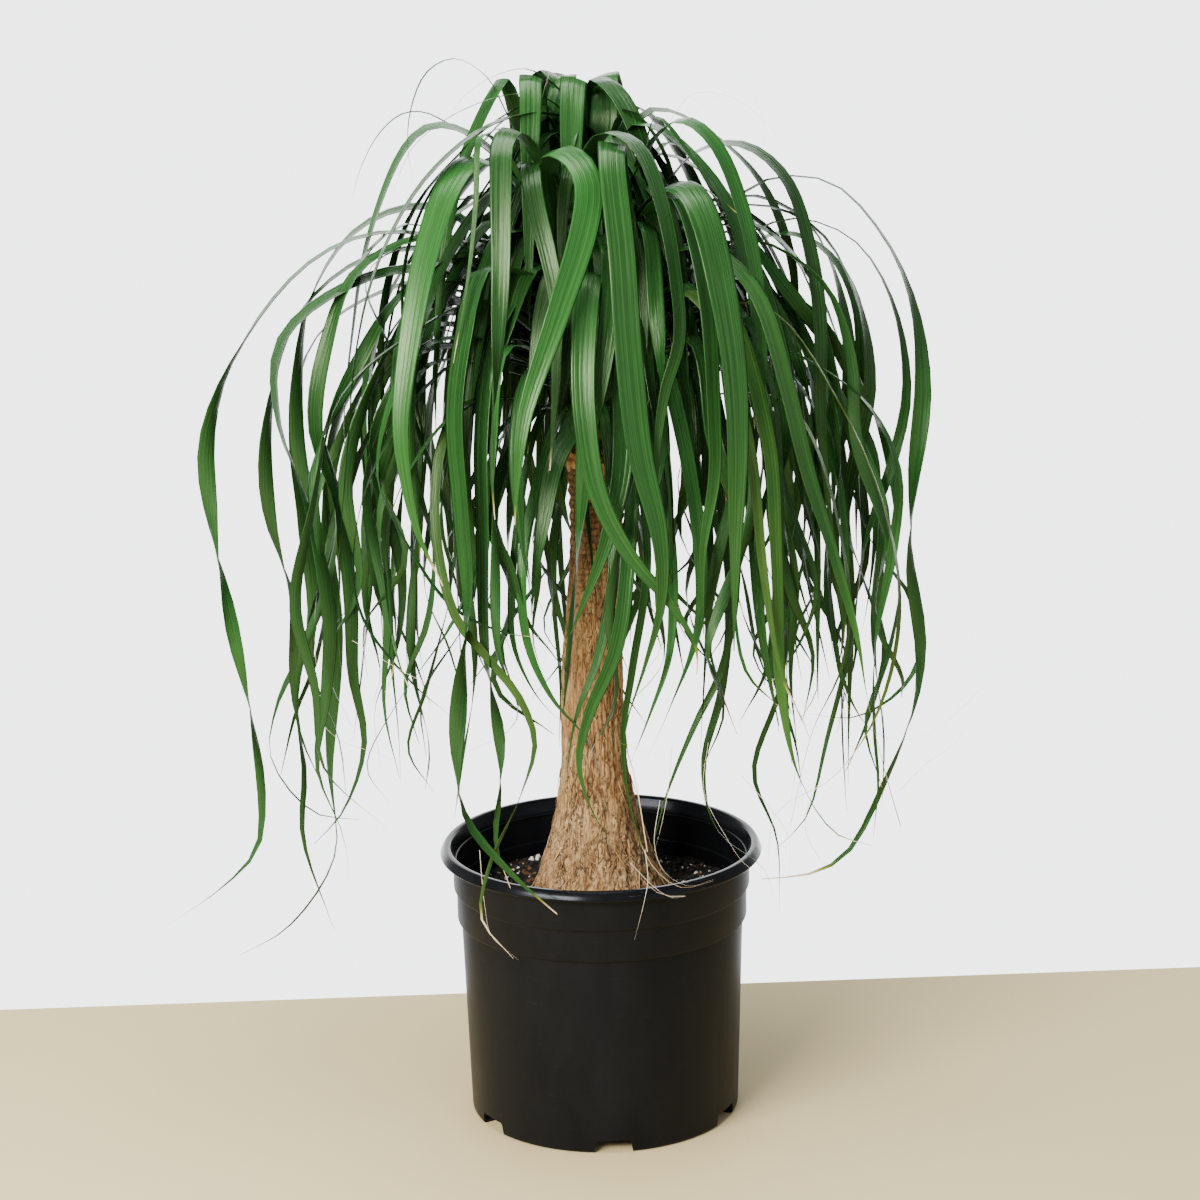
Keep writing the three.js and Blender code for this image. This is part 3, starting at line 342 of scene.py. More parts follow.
# What sets single leaves apart: list and place in it, then tone (0 deep, 1 fresh), where the dry tip
# starts along the leaf, and how yellow it is
LEAF_LOOKS = {
    ("front", 5): (0.45, 0.93, 0.1),
    ("front", 7): (0.4, 0.9, 0.0),
    ("front", 8): (0.6, 0.86, 0.0),
    ("front", 9): (0.5, 0.88, 0.0),
    ("front", 10): (0.5, 0.84, 0.0),
    ("front", 0): (0.5, 0.985, 0.0),
    ("front", 11): (0.6, 0.97, 0.0),
    ("front", 16): (0.05, 0.99, 0.0),
    ("top", 8): (1.0, 0.99, 0.0),
    ("top", 9): (0.5, 0.9, 0.0),
    ("top", 6): (0.95, 0.97, 0.0),
    ("right", 2): (0.5, 0.95, 0.0),
    ("right", 7): (0.9, 0.84, 0.05),
    ("right", 10): (0.35, 0.8, 0.0),
    ("right", 11): (0.6, 0.8, 0.3),
    ("right", 12): (0.95, 0.96, 0.1),
    ("right", 13): (0.6, 0.94, 0.15),
    ("right", 15): (0.6, 0.9, 0.1),
}

# Leaves that hang beside the head, in the same form as the lists above
SIDE_LEAVES = [
    [17, [0.35, 260], [-60, 715, 20], [-120, 765, 28], [-180, 752, 34], [-222, 700, 38],
        [-238, 627, 42], [-240, 566, 44], [-229, 505, 45], [-224, 444, 46], [-234, 392, 46],
        [-252, 348, 47], [-266, 296, 48]],
    [15, [0.3, -300], [-55, 700, -30], [-120, 742, -42], [-186, 716, -52], [-214, 655, -58],
        [-226, 590, -62], [-212, 520, -64], [-222, 455, -66], [-244, 400, -66], [-250, 340, -67],
        [-232, 285, -68]],
    [14, [0.4, 200], [-50, 690, -10], [-110, 722, -14], [-158, 690, -18], [-180, 620, -22],
        [-176, 540, -24], [-160, 470, -26], [-166, 405, -27], [-186, 350, -28], [-182, 300, -28]],
    [16, [0.3, 280], [60, 715, 10], [120, 762, 12], [178, 745, 14], [212, 690, 16], [224, 620, 18],
        [214, 560, 18], [206, 505, 19], [222, 450, 20], [238, 400, 20], [226, 340, 21],
        [206, 290, 22]],
    [14, [0.3, -240], [55, 700, -40], [125, 735, -52], [185, 700, -60], [208, 640, -64],
        [214, 570, -68], [236, 505, -70], [250, 450, -72], [240, 385, -73], [222, 330, -74],
        [236, 275, -75]],
    [15, [0.35, 230], [40, 700, 30], [96, 730, 42], [140, 700, 50], [162, 630, 56], [170, 560, 60],
        [158, 490, 62], [146, 430, 64], [156, 370, 66], [176, 318, 67]],
    [18, [0.3, 300], [30, 690, -30], [84, 735, -48], [128, 715, -60], [150, 650, -68],
        [158, 580, -73], [150, 510, -76], [160, 445, -78], [178, 390, -79], [170, 335, -80]],
    [17, [0.35, -260], [40, 700, -10], [104, 752, -14], [156, 730, -18], [186, 660, -22],
        [194, 585, -25], [182, 515, -27], [166, 450, -28], [150, 395, -29], [160, 340, -30]],
    [16, [0.3, 240], [30, 680, 30], [78, 720, 44], [116, 700, 54], [134, 630, 60], [126, 555, 64],
        [112, 490, 66], [120, 430, 68], [142, 375, 69], [150, 325, 70]],
    [18, [0.4, -200], [30, 670, -50], [70, 700, -80], [100, 670, -98], [116, 600, -108],
        [112, 530, -113], [98, 465, -116], [92, 405, -117], [106, 350, -118]],
    [15, [0.3, 330], [50, 720, 40], [120, 770, 56], [176, 745, 66], [204, 670, 72], [206, 590, 76],
        [192, 520, 78], [196, 455, 79], [214, 400, 80], [204, 350, 80]],
    [14, [0.3, -280], [-40, 690, -40], [-96, 730, -58], [-140, 700, -70], [-158, 630, -78],
        [-150, 555, -83], [-134, 490, -86], [-140, 425, -88], [-160, 370, -89], [-150, 320, -90]],
]

# A leaf that has dried back further than this ends in a thread
TAIL_DRY = 0.91

# Leaves made by rule, which fill the head between and behind the others
FILL_COUNT = 36
FILL_TURN = 137.508
FILL_CROWD_BACK = 0.4
FILL_ROOT = (600, 688)
FILL_CREST = (715, 858)
FILL_CREST_REACH = (112, 44)
FILL_HANG = (84, 104)
FILL_DROP = (430, 230)
FILL_SWAY = 34
FILL_TWIST = 160
FILL_WIDTH = (11, 21)

# Thin leaves inside the head, also from the oldest to the youngest
HEART_ROOT = (600, 690)
HEART_CREST = (690, 835)
HEART_CREST_REACH = (86, 30)
HEART_HANG = (28, 66)
HEART_DROP = (90, 230)
HEART_SWAY = 30
HEART_TWIST = 140
HEART_WIDTH = (8, 19)

# The bases of young leaves, packed against the core
PACKED_COUNT = 64
PACKED_TOP = 690
PACKED_WIDTH = (13, 20)

# Leaves that hang from the head to below it and turn over as they fall
SKIRT_ROOT = (600, 680)
SKIRT_CREST = (640, 790)
SKIRT_CREST_REACH = (112, 58)
SKIRT_HANG = (10, 85)
SKIRT_REACH = 152
SKIRT_END = (265, 455)
SKIRT_SWAY = 75
SKIRT_HOOK = 55
SKIRT_WAVE = 24
SKIRT_TWIST = (150, 430)
SKIRT_WIDTH = (8, 17)
SKIRT_TRUNK_CLEAR = 62

# The head is wider than it is deep, and flatter in front, so that hanging leaves stay inside the reach
# of the placed ones there
HEAD_WIDER = 0.42
FRONT_FLAT = 0.84

# Dead tips and threads as fine as hair, by their route on the same plane
THREADS = [
    [[-48, 812, -20], [-38, 843, -24], [-33, 860, -24], [-25, 880, -22], [-15, 893, -20],
        [-3, 905, -18]],
    [[60, 790, 20], [81, 832, 20], [100, 848, 20], [118, 853, 20], [134, 843, 20], [140, 824, 20],
        [138, 800, 20]],
    [[45, 795, 5], [66, 832, 4], [83, 851, 2], [108, 850, 0], [134, 835, -5], [153, 811, -10],
        [163, 780, -14]],
    [[91, 317, -100], [87, 275, -102], [104, 236, -104], [126, 205, -106], [159, 197, -108],
        [208, 215, -110]],
    [[119, 287, -100], [142, 259, -104], [158, 231, -106], [157, 195, -110], [147, 160, -112]],
    [[50, 267, -142], [45, 228, -145], [53, 204, -147], [74, 191, -147], [96, 197, -146]],
    [[37, 224, -145], [39, 197, -147], [35, 175, -148], [27, 144, -148]],
    [[24, 213, -147], [45, 190, -149], [59, 181, -150], [71, 182, -150]],
    [[61, 315, -122], [57, 276, -127], [50, 241, -132], [45, 223, -140]],
    [[-102, 226, -142], [-99, 177, -146], [-94, 150, -148], [-72, 128, -149]],
    [[-247, 360, -60], [-216, 325, -62], [-175, 307, -64], [-155, 271, -66]],
    [[251, 272, -60], [272, 294, -58], [299, 315, -56], [313, 354, -54]],
    [[184, 212, -60], [172, 239, -62], [180, 274, -60], [209, 299, -58]],
    [[-202, 410, -120], [-147, 375, -124], [-90, 357, -128], [-49, 346, -132]],
]
THREAD_WIDTH = (0.5, 0.9)

# Where a placed leaf roots, in millimetres: how far from the axis, between which heights, and how high
# its rising stretch ends at least. One that folds over above the low crest roots the higher for it.
LEAF_ROOT_REACH = 8
LEAF_ROOT_HEIGHT = (598, 678)
LEAF_ROOT_RISE = 612
LOW_CREST = 640

# No leaf folds over quite level: each leans its own way by up to so many degrees
CREST_LEAN = 16

# A leaf's raised edges sink where it bends over: by this much of their height at the sharpest bend, and
# by half of that where half the leaf's width, divided by the bend's radius and squared, is CREST_SHARP
CREST_SINK = 1.7
CREST_SHARP = 0.05

# The floor's corners in metres, across and behind
FLOOR_CORNERS = [(-3.4, -4.0), (3.4, -4.0), (3.4, 0.423), (-3.4, 0.099)]

# Softboxes: name, place, the point each faces, width and height in metres, share of the key's power and
# colour
SOFTBOXES = [
    ("key", (-1.4, -1.9, 1.4), (0, 0, 0.45), (1.6, 0.55), 1.0, "#fffaf2"),
    ("fill", (1.9, -1.8, 0.9), (0, 0, 0.4), (1.6, 1.6), 0.045, "#eef4ff"),
    ("top", (-0.1, -0.2, 1.9), (0, 0, 0.7), (0.9, 0.9), 0.22, "#ffffff"),
]


class Line:
    """A smooth line through points, centripetal Catmull-Rom, read by the share of its length."""

    def __init__(self, points, fine=14):
        p = [np.array(q, float) for q in points]
        p = [2 * p[0] - p[1], *p, 2 * p[-1] - p[-2]]
        rows = []
        for a, b, c, d in zip(p, p[1:], p[2:], p[3:]):
            d1 = math.sqrt(np.linalg.norm(c - b)) or 1
            d0 = math.sqrt(np.linalg.norm(b - a)) or d1
            d2 = math.sqrt(np.linalg.norm(d - c)) or d1
            out = ((b - a) / d0 - (c - a) / (d0 + d1) + (c - b) / d1) * d1
            back = ((c - b) / d1 - (d - b) / (d1 + d2) + (d - c) / d2) * d1
            t = np.linspace(0, 1, fine, endpoint=False)[:, None]
            square = (3 * (c - b) - 2 * out - back) * t**2
            cube = (2 * (b - c) + out + back) * t**3
            rows.append(b + out * t + square + cube)
        self.points = np.vstack([*rows, p[-2]])
        steps = np.linalg.norm(np.diff(self.points, axis=0), axis=1)
        self.run = np.concatenate([[0], np.cumsum(steps)])
        self.length = self.run[-1]

    def at(self, shares):
        """The points at some shares of the length."""
        where = np.asarray(shares) * self.length
        return np.stack([np.interp(where, self.run, self.points[:, k]) for k in range(3)], axis=1)


def placed(point):
    """Where a point read on the upright plane through the trunk really is."""
    across, up, behind = point
    far = (EYE_BACK + behind) / EYE_BACK
    return (across * far, behind, EYE_UP + (up - EYE_UP) * far)


def rooted(points):
    """A leaf's whole route: its root in the head, a rising stretch, and then its given points."""
    x, y, z = points[0]
    crest = max(p[2] for p in points)
    low, high = LEAF_ROOT_HEIGHT
    height = min(high, max(low, low + (crest - LOW_CREST) * 0.36))
    out = math.hypot(x, y)
    stretch = 0.55 if z < LOW_CREST else 0.36
    reach = LEAF_ROOT_REACH + (out - LEAF_ROOT_REACH) * stretch
    rise = max(LEAF_ROOT_RISE, height + (z - height) * 0.58 + min(out, 60) * 0.16)
    return [
        (x / out * LEAF_ROOT_REACH, y / out * LEAF_ROOT_REACH, height - 6),
        (x / out * reach, y / out * reach, rise),
        *points,
    ]


def spotter(angle, flat_front=1.0):
    """Gives points by how far out, aside and up they lie from the upright plane at an angle."""
    turn = (math.cos(angle), math.sin(angle))

    def spot(out, aside, height):
        behind = out * turn[1] + aside * turn[0]
        return (out * turn[0] - aside * turn[1], behind * (flat_front if behind < 0 else 1), height)

    return spot


def base_width(share):
    """How wide a leaf's clasping base is."""
    return mix(0.45, 1, smoothstep(share, 0.03, 0.22))


def leaf_width(share):
    """How wide a leaf is along its length: a clasping base, a long even stretch and a fine point."""
    return base_width(share) * max(1 - share**2.9, 0.04)


def tailed_width(share):
    """A leaf that has dried back a long way: its end has shrunk to a thread."""
    return base_width(share) * mix(1, 0.05, smoothstep(share, 0.5, 0.86))


def packed_width(share):
    """The base of a young leaf, cut off where the head hides it."""
    return 1 - 0.7 * share**2


def husk_width(share):
    """A dead leaf base, torn to a blunt point."""
    return 1 - 0.85 * share**2.2


def thread_width(share):
    """A thread or a fine root, which thins all the way to its end."""
    return max(0.12, 1 - share**1.5)


def carried(side, headings):
    """A width's direction carried along a line without any twist of its own."""
    side, heading, sides = side.copy(), headings[0], []
    for tangent in headings:
        side.rotate(heading.rotation_difference(tangent))
        heading = tangent
        sides.append(side.copy())
    return sides


def ribbon(
    route, width, twist_from=0.5, twist=0.0, steps=44, shape=leaf_width, start_side=None, **looks
):
    """One ribbon's line: points in metres and, at each, the way of its width, half of that and its looks.

    Unless it is told how its width starts, a leaf lies almost level across its way at its highest
    point, where it folds over.
    """
    line = Line(route)
    shares = np.linspace(0, 1, steps)
    points = line.at(shares)
    tangents = np.gradient(points, axis=0)
    tangents /= np.linalg.norm(tangents, axis=1)[:, None]
    headings = [Vector(tangent) for tangent in tangents]
    crest = 0 if start_side else int(np.argmax(points[:, 2]))
    side = Vector(start_side or (-headings[crest].y, headings[crest].x, 0)).normalized()
    side = (side - headings[crest] * side.dot(headings[crest])).normalized()
    if not start_side:
        lean = CREST_LEAN * math.sin(7 * route[-1][0])
        side.rotate(Quaternion(headings[crest], math.radians(lean)))
    sides = carried(side, headings[crest::-1])[:0:-1] + carried(side, headings[crest:])
    turns = [smoothstep(share, twist_from, 1) * math.radians(twist) for share in shares]
    edges = [Quaternion(ahead, turn) @ side for ahead, turn, side in zip(headings, turns, sides)]
    halves = np.array([width * shape(share) / 2 for share in shares])
    bends = np.linalg.norm(np.gradient(tangents, axis=0), axis=1) / (line.length / (steps - 1))
    sharp = (bends * halves) ** 2
    heights = halves * MM * (1 - CREST_SINK * sharp / (sharp + CREST_SHARP))
    lifts = [ahead.cross(edge) * height for ahead, edge, height in zip(headings, edges, heights)]
    return {
        "points": points * MM,
        "edges": edges,
        "lifts": lifts,
        "halves": halves * MM,
        "shares": shares,
        "looks": looks,
    }


def mark(mesh, name, column):
    """Gives every point of a mesh a number under a name."""
    column = np.array(column, dtype=np.float32)
    mesh.attributes.new(name, "FLOAT", "POINT").data.foreach_set("value", column)


def line_mesh(name, ribbons):
    """A mesh of open lines that carries, point by point, what the ribbon tree reads."""
    points = np.vstack([r["points"] for r in ribbons])
    links, first = [], 0
    for r in ribbons:
        count = len(r["points"])
        links += [(first + i, first + i + 1) for i in range(count - 1)]
        first += count
    mesh = bpy.data.meshes.new(name)
    mesh.from_pydata(points.tolist(), links, [])
    for key, column in (("edge", "edges"), ("lift", "lifts")):
        vectors = np.array([v for r in ribbons for v in r[column]], dtype=np.float32)
        mesh.attributes.new(key, "FLOAT_VECTOR", "POINT").data.foreach_set("vector", vectors.ravel())
    mark(mesh, "half", [half for r in ribbons for half in r["halves"]])
    mark(mesh, "along", [share for r in ribbons for share in r["shares"]])
    for key in ribbons[0]["looks"]:
        mark(mesh, key, [r["looks"][key] for r in ribbons for _ in r["shares"]])
    return mesh


MATH, MIX, RAMP, NOISE = "ShaderNodeMath", "ShaderNodeMix", "ShaderNodeValToRGB", "ShaderNodeTexNoise"
MAPPING, BUMP, ATTRIBUTE = "ShaderNodeMapping", "ShaderNodeBump", "ShaderNodeAttribute"
SPLIT, JOIN, VECTOR = "ShaderNodeSeparateXYZ", "ShaderNodeCombineXYZ", "ShaderNodeVectorMath"
READ, STORE = "GeometryNodeInputNamedAttribute", "GeometryNodeStoreNamedAttribute"
MOVE, HERE = "GeometryNodeSetPosition", "GeometryNodeInputPosition"
RANGE, VORONOI, PLACE = "ShaderNodeMapRange", "ShaderNodeTexVoronoi", "ShaderNodeTexCoord"


def result(value):
    """A node's first live output, or a socket as it is."""
    if isinstance(value, bpy.types.Node):
        return next(socket for socket in value.outputs if socket.enabled)
    return value


def add(tree, kind, links=None, stops=(), **settings):
    """Adds a node with its settings, its values, its links and, for a ramp, its stops."""
    made = tree.nodes.new(kind)
    for name, value in settings.items():
        setattr(made, name, value)
    for key, value in (links or {}).items():
        value = result(value)
        if isinstance(value, bpy.types.NodeSocket):
            tree.links.new(value, made.inputs[key])
        else:
            made.inputs[key].default_value = value
    for place, (where, colour) in enumerate(stops):
        elements = made.color_ramp.elements
        if place == len(elements):
            elements.new(1.0)
        elements[place].position = where
        if isinstance(colour, str):
            colour = linear(colour)
        if isinstance(colour, float):
            colour = (colour, colour, colour, 1)
        elements[place].color = tuple(colour)
    return made


def new_tree(name, inputs):
    """A geometry tree with a geometry socket in and out, and the named inputs with their defaults."""
    tree = bpy.data.node_groups.new(name, "GeometryNodeTree")
    tree.interface.new_socket("Geometry", in_out="INPUT", socket_type="NodeSocketGeometry")
    for label, (kind, default) in inputs.items():
        socket = tree.interface.new_socket(label, in_out="INPUT", socket_type=kind)
        if default is not None:
            socket.default_value = default
    tree.interface.new_socket("Geometry", in_out="OUTPUT", socket_type="NodeSocketGeometry")
    return tree, add(tree, "NodeGroupInput")


def end_tree(tree, geometry, material):
    """Ends a geometry tree in plain geometry with its material."""
    real = add(tree, "GeometryNodeRealizeInstances", {"Geometry": geometry})
    coloured = add(tree, "GeometryNodeSetMaterial", {"Geometry": real, "Material": material})
    add(tree, "NodeGroupOutput", {"Geometry": coloured})


def ribbon_tree():
    """Ribbons along lines: a lens-shaped section with raised edges, carried along each line."""
    known = bpy.data.node_groups.get("Ribbons along lines")
    if known:
        return known
    tree, given = new_tree(
        "Ribbons along lines",
        {
            "Facets": ("NodeSocketInt", 12),
            "Thickness": ("NodeSocketFloat", 0.05),
            "Gutter": ("NodeSocketFloat", 0.2),
            "Material": ("NodeSocketMaterial", None),
        },
    )
    # The section is a flattened ring, and each of its points says how far across and below it lies
    ring = add(tree, "GeometryNodeMeshCircle", {"Vertices": given.outputs["Facets"], "Radius": 1.0})
    place = add(tree, SPLIT, {0: add(tree, HERE)})
    across, high = place.outputs[0], place.outputs[1]
    below = add(tree, MATH, {0: high, 1: -1.0}, operation="MULTIPLY", use_clamp=True)
    for name, value in (("across", across), ("under", below)):
        links = {"Geometry": ring, "Name": name, "Value": value}
        ring = add(tree, STORE, links, data_type="FLOAT", domain="POINT")
    thin = add(tree, MATH, {0: high, 1: given.outputs["Thickness"]}, operation="MULTIPLY")
    flat = add(tree, JOIN, {0: across, 1: thin})
    section = add(tree, MOVE, {"Geometry": ring, "Position": flat})
    section = add(tree, "GeometryNodeMeshToCurve", {"Mesh": section})
    # The lines carry it, turned and sized as their points say
    lines = add(tree, "GeometryNodeMeshToCurve", {"Mesh": given.outputs["Geometry"]})
    edge = add(tree, READ, {"Name": "edge"}, data_type="FLOAT_VECTOR")
    lines = add(tree, "GeometryNodeSetCurveNormal", {"Curve": lines, "Normal": edge}, mode="FREE")
    half = add(tree, READ, {"Name": "half"}, data_type="FLOAT")
    links = {"Curve": lines, "Profile Curve": section, "Scale": half, "Fill Caps": True}
    swept = add(tree, "GeometryNodeCurveToMesh", links)
    # The edges rise into a gutter
    off = add(tree, READ, {"Name": "across"}, data_type="FLOAT")
    off = add(tree, MATH, {0: off}, operation="ABSOLUTE")
    off = add(tree, MATH, {0: off, 1: 1.35}, operation="POWER")
    off = add(tree, MATH, {0: off, 1: given.outputs["Gutter"]}, operation="MULTIPLY")
    lift = add(tree, READ, {"Name": "lift"}, data_type="FLOAT_VECTOR")
    raised = add(tree, VECTOR, {0: lift, 3: off}, operation="SCALE")
    swept = add(tree, MOVE, {"Geometry": swept, "Offset": raised})
    smooth = add(tree, "GeometryNodeSetShadeSmooth", {"Geometry": swept, "Shade Smooth": True})
    end_tree(tree, smooth, given.outputs["Material"])
    return tree


def apply_tree(obj, tree, values):
    """Gives an object a geometry tree with its values, and keeps what it makes as a plain mesh."""
    modifier = obj.modifiers.new(tree.name, "NODES")
    modifier.node_group = tree
    for item in tree.interface.items_tree:
        if item.in_out == "INPUT" and item.name in values:
            modifier[item.identifier] = values[item.name]
    settle(obj)


def settle(obj):
    """Turns an object and its modifiers into the object's own plain mesh."""
    evaluated = obj.evaluated_get(bpy.context.evaluated_depsgraph_get())
    mesh = bpy.data.meshes.new_from_object(evaluated)
    obj.modifiers.clear()
    obj.data = mesh


def show(name, mesh, material=None):
    """Puts a mesh into the scene as an object of its own."""
    obj = bpy.data.objects.new(name, mesh)
    bpy.context.scene.collection.objects.link(obj)
    if material:
        mesh.materials.append(material)
    return obj


def mesh_from(shape, name):
    """Ends a bmesh as a mesh of its own."""
    mesh = bpy.data.meshes.new(name)
    shape.to_mesh(mesh)
    shape.free()
    return mesh


def face_out(mesh, merge=True):
    """Merges a closed mesh's doubles, unless it is told not to, and turns its faces outwards."""
    shape = bmesh.new()
    shape.from_mesh(mesh)
    if merge:
        bmesh.ops.remove_doubles(shape, verts=shape.verts, dist=1e-6)
    bmesh.ops.recalc_face_normals(shape, faces=shape.faces)
    shape.to_mesh(mesh)
    shape.free()


def join_up(obj, slot_name, *nodes):
    """Rides a finished piece on the plant's one body and hides the imported parts that it stands in for.
    """
    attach(obj, BODY)
    if nodes:
        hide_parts(*nodes)


def ribbons_piece(name, ribbons, material, facets=12, thickness=0.05, gutter=0.2):
    """One piece made of ribbons."""
    obj = show(name, line_mesh(name, ribbons))
    values = {"Facets": facets, "Thickness": thickness, "Gutter": gutter, "Material": material}
    apply_tree(obj, ribbon_tree(), values)
    face_out(obj.data)
    obj.data.shade_smooth()
    return obj


def new_material(name):
    """A material with its node tree, its shader and the object's own coordinates."""
    material = bpy.data.materials.new(name)
    material.use_nodes = True
    tree = material.node_tree
    tree.nodes.clear()
    shader = add(tree, "ShaderNodeBsdfPrincipled")
    add(tree, "ShaderNodeOutputMaterial", {"Surface": shader})
    return material, tree, shader, add(tree, PLACE).outputs["Object"]


def finish(tree, shader, sockets, **values):
    """Links a shader's varying sockets and sets its even ones."""
    for name, node in sockets.items():
        tree.links.new(result(node), shader.inputs[name])
    for name, value in values.items():
        shader.inputs[name.replace("_", " ")].default_value = value


def waxy_leaf(look):
    """Living strap leaf: a hard waxy skin over fibre, so it is satin, with fine veins along it."""
    material, tree, shader, place = new_material("Waxy strap leaf")
    along, across, under, tone, dry, straw = (
        add(tree, ATTRIBUTE, attribute_name=name).outputs["Fac"]
        for name in ("along", "across", "under", "tone", "dry", "straw")
    )
    # Mottling in patches of about 30 mm
    patches = add(tree, NOISE, {"Vector": place, "Scale": 34.0, "Detail": 3.0})
    uneven = add(tree, MATH, {0: patches, 1: 0.5, 2: tone}, operation="MULTIPLY_ADD")
    uneven = add(tree, MATH, {0: uneven, 1: 0.25}, operation="SUBTRACT", use_clamp=True)
    green = add(tree, MIX, {0: uneven, 6: look.deep, 7: look.fresh}, data_type="RGBA")
    # Long streaks, about 1.5 mm wide and 100 mm long, another set on each leaf
    streaks = add(tree, MATH, {0: across, 1: 8.0}, operation="MULTIPLY")
    lengths = add(tree, MATH, {0: along, 1: 4.0}, operation="MULTIPLY")
    leaf = add(tree, MATH, {0: tone, 1: 91.0}, operation="MULTIPLY")
    streaks = add(tree, JOIN, {0: streaks, 1: lengths, 2: leaf})
    streaks = add(tree, NOISE, {"Vector": streaks, "Scale": 1.0, "Detail": 4.0, "Roughness": 0.6})
    paler = add(tree, RAMP, {0: streaks}, stops=[(0.46, 0.0), (0.8, 0.34)])
    green = add(tree, MIX, {0: paler, 6: green, 7: look.pale}, data_type="RGBA")
    # The base of a leaf is paler inside the head
    root = add(tree, RAMP, {0: along}, stops=[(0.0, 0.3), (0.12, 0.0)])
    green = add(tree, MIX, {0: root, 6: green, 7: linear("#41702a")}, data_type="RGBA")
    # Veins 0.6 mm apart on the real leaf, drawn 1 mm apart so that they show, on pleats 4 mm wide
    wave = add(tree, MATH, {0: across, 1: 44.0}, operation="MULTIPLY")
    wave = add(tree, MATH, {0: wave}, operation="SINE")
    veins = add(tree, MATH, {0: wave, 1: 0.5, 2: 0.5}, operation="MULTIPLY_ADD")
    fold = add(tree, MATH, {0: across, 1: 15.0, 2: leaf}, operation="MULTIPLY_ADD")
    fold = add(tree, MATH, {0: fold}, operation="SINE")
    pleats = add(tree, MATH, {0: fold, 1: 0.5, 2: 0.5}, operation="MULTIPLY_ADD")
    paler = add(tree, MATH, {0: veins, 1: pleats}, operation="MULTIPLY")
    paler = add(tree, MATH, {0: paler, 1: 0.1}, operation="MULTIPLY")
    green = add(tree, MIX, {0: paler, 6: green, 7: look.pale}, data_type="RGBA")
    # The folded middle is darkened toward the deep green: painted shade in the fold
    middle = add(tree, MATH, {0: across}, operation="ABSOLUTE")
    middle = add(tree, RAMP, {0: middle}, stops=[(0.0, 0.3), (0.12, 0.0)])
    green = add(tree, MIX, {0: middle, 6: green, 7: look.deep}, data_type="RGBA")
    below = add(tree, MATH, {0: under, 1: 0.7}, operation="MULTIPLY")
    green = add(tree, MIX, {0: below, 6: green, 7: look.underside}, data_type="RGBA")
    # A dying leaf yellows and then dries back from its tip
    beyond = add(tree, MATH, {0: along, 1: dry}, operation="SUBTRACT")
    yellow = add(tree, MATH, {0: beyond, 1: 40.0, 2: 0.9}, operation="MULTIPLY_ADD", use_clamp=True)
    spots = add(tree, MATH, {0: straw, 1: patches}, operation="MULTIPLY")
    yellow = add(tree, MATH, {0: yellow, 1: spots}, operation="MAXIMUM", use_clamp=True)
    green = add(tree, MIX, {0: yellow, 6: green, 7: look.yellow}, data_type="RGBA")
    dead = add(tree, MATH, {0: beyond, 1: 60.0, 2: 0.4}, operation="MULTIPLY_ADD", use_clamp=True)
    browned = add(tree, NOISE, {"Vector": place, "Scale": 60.0})
    husk = add(tree, MIX, {0: browned, 6: linear("#b08a5e"), 7: linear("#ebdfc8")}, data_type="RGBA")
    colour = add(tree, MIX, {0: dead, 6: green, 7: husk}, data_type="RGBA")
    # Wax is worn along the streaks
    gloss = add(tree, MATH, {0: streaks, 1: 0.3, 2: look.gloss}, operation="MULTIPLY_ADD")
    gloss = add(tree, MATH, {0: dead, 1: 0.35, 2: gloss}, operation="MULTIPLY_ADD")
    gloss = add(tree, MATH, {0: under, 1: 0.12, 2: gloss}, operation="MULTIPLY_ADD")
    height = add(tree, MATH, {0: pleats, 1: 0.35, 2: streaks}, operation="MULTIPLY_ADD")
    height = add(tree, MATH, {0: veins, 1: 0.15, 2: height}, operation="MULTIPLY_ADD")
    ribs = add(tree, BUMP, {"Height": height, "Strength": 0.45, "Distance": 0.0007})
    finish(
        tree,
        shader,
        {"Base Color": colour, "Roughness": gloss, "Normal": ribs},
        IOR=1.45,
        Specular_IOR_Level=0.42,
        Specular_Tint=linear("#d6f2c4"),
    )
    return material


def papery_husk(name="Papery dead leaf"):
    """Dead leaf base: thin, papery and split along its fibres, so it is matt and streaky."""
    material, tree, shader, place = new_material(name)
    along, across, tone = (
        add(tree, ATTRIBUTE, attribute_name=key).outputs["Fac"] for key in ("along", "across", "tone")
    )
    # Fibres about 1 mm apart
    wave = add(tree, MATH, {0: across, 1: 16.0}, operation="MULTIPLY")
    wave = add(tree, MATH, {0: wave}, operation="SINE")
    fibres = add(tree, MATH, {0: wave, 1: 0.5, 2: 0.5}, operation="MULTIPLY_ADD")
    stains = add(tree, NOISE, {"Vector": place, "Scale": 110.0, "Detail": 5.0})
    stains = add(tree, MATH, {0: stains, 1: 0.8, 2: tone}, operation="MULTIPLY_ADD")
    stains = add(tree, MATH, {0: stains, 1: 0.35}, operation="SUBTRACT")
    browns = [(0.0, "#4a2a14"), (0.45, "#9a5c2c"), (0.8, "#c98f55"), (1.0, "#dcb583")]
    colour = add(tree, RAMP, {0: stains}, stops=browns)
    paler = add(tree, MATH, {0: fibres, 1: 0.3}, operation="MULTIPLY")
    colour = add(tree, MIX, {0: paler, 6: colour, 7: linear("#e0c294")}, data_type="RGBA")
    bleached = add(tree, RAMP, {0: along}, stops=[(0.6, 0.0), (1.0, 0.7)])
    colour = add(tree, MIX, {0: bleached, 6: colour, 7: linear("#d9bd90")}, data_type="RGBA")
    ribs = add(tree, BUMP, {"Height": fibres, "Strength": 0.5, "Distance": 0.0006})
    finish(tree, shader, {"Base Color": colour, "Normal": ribs}, Roughness=0.8, IOR=1.45)
    return material


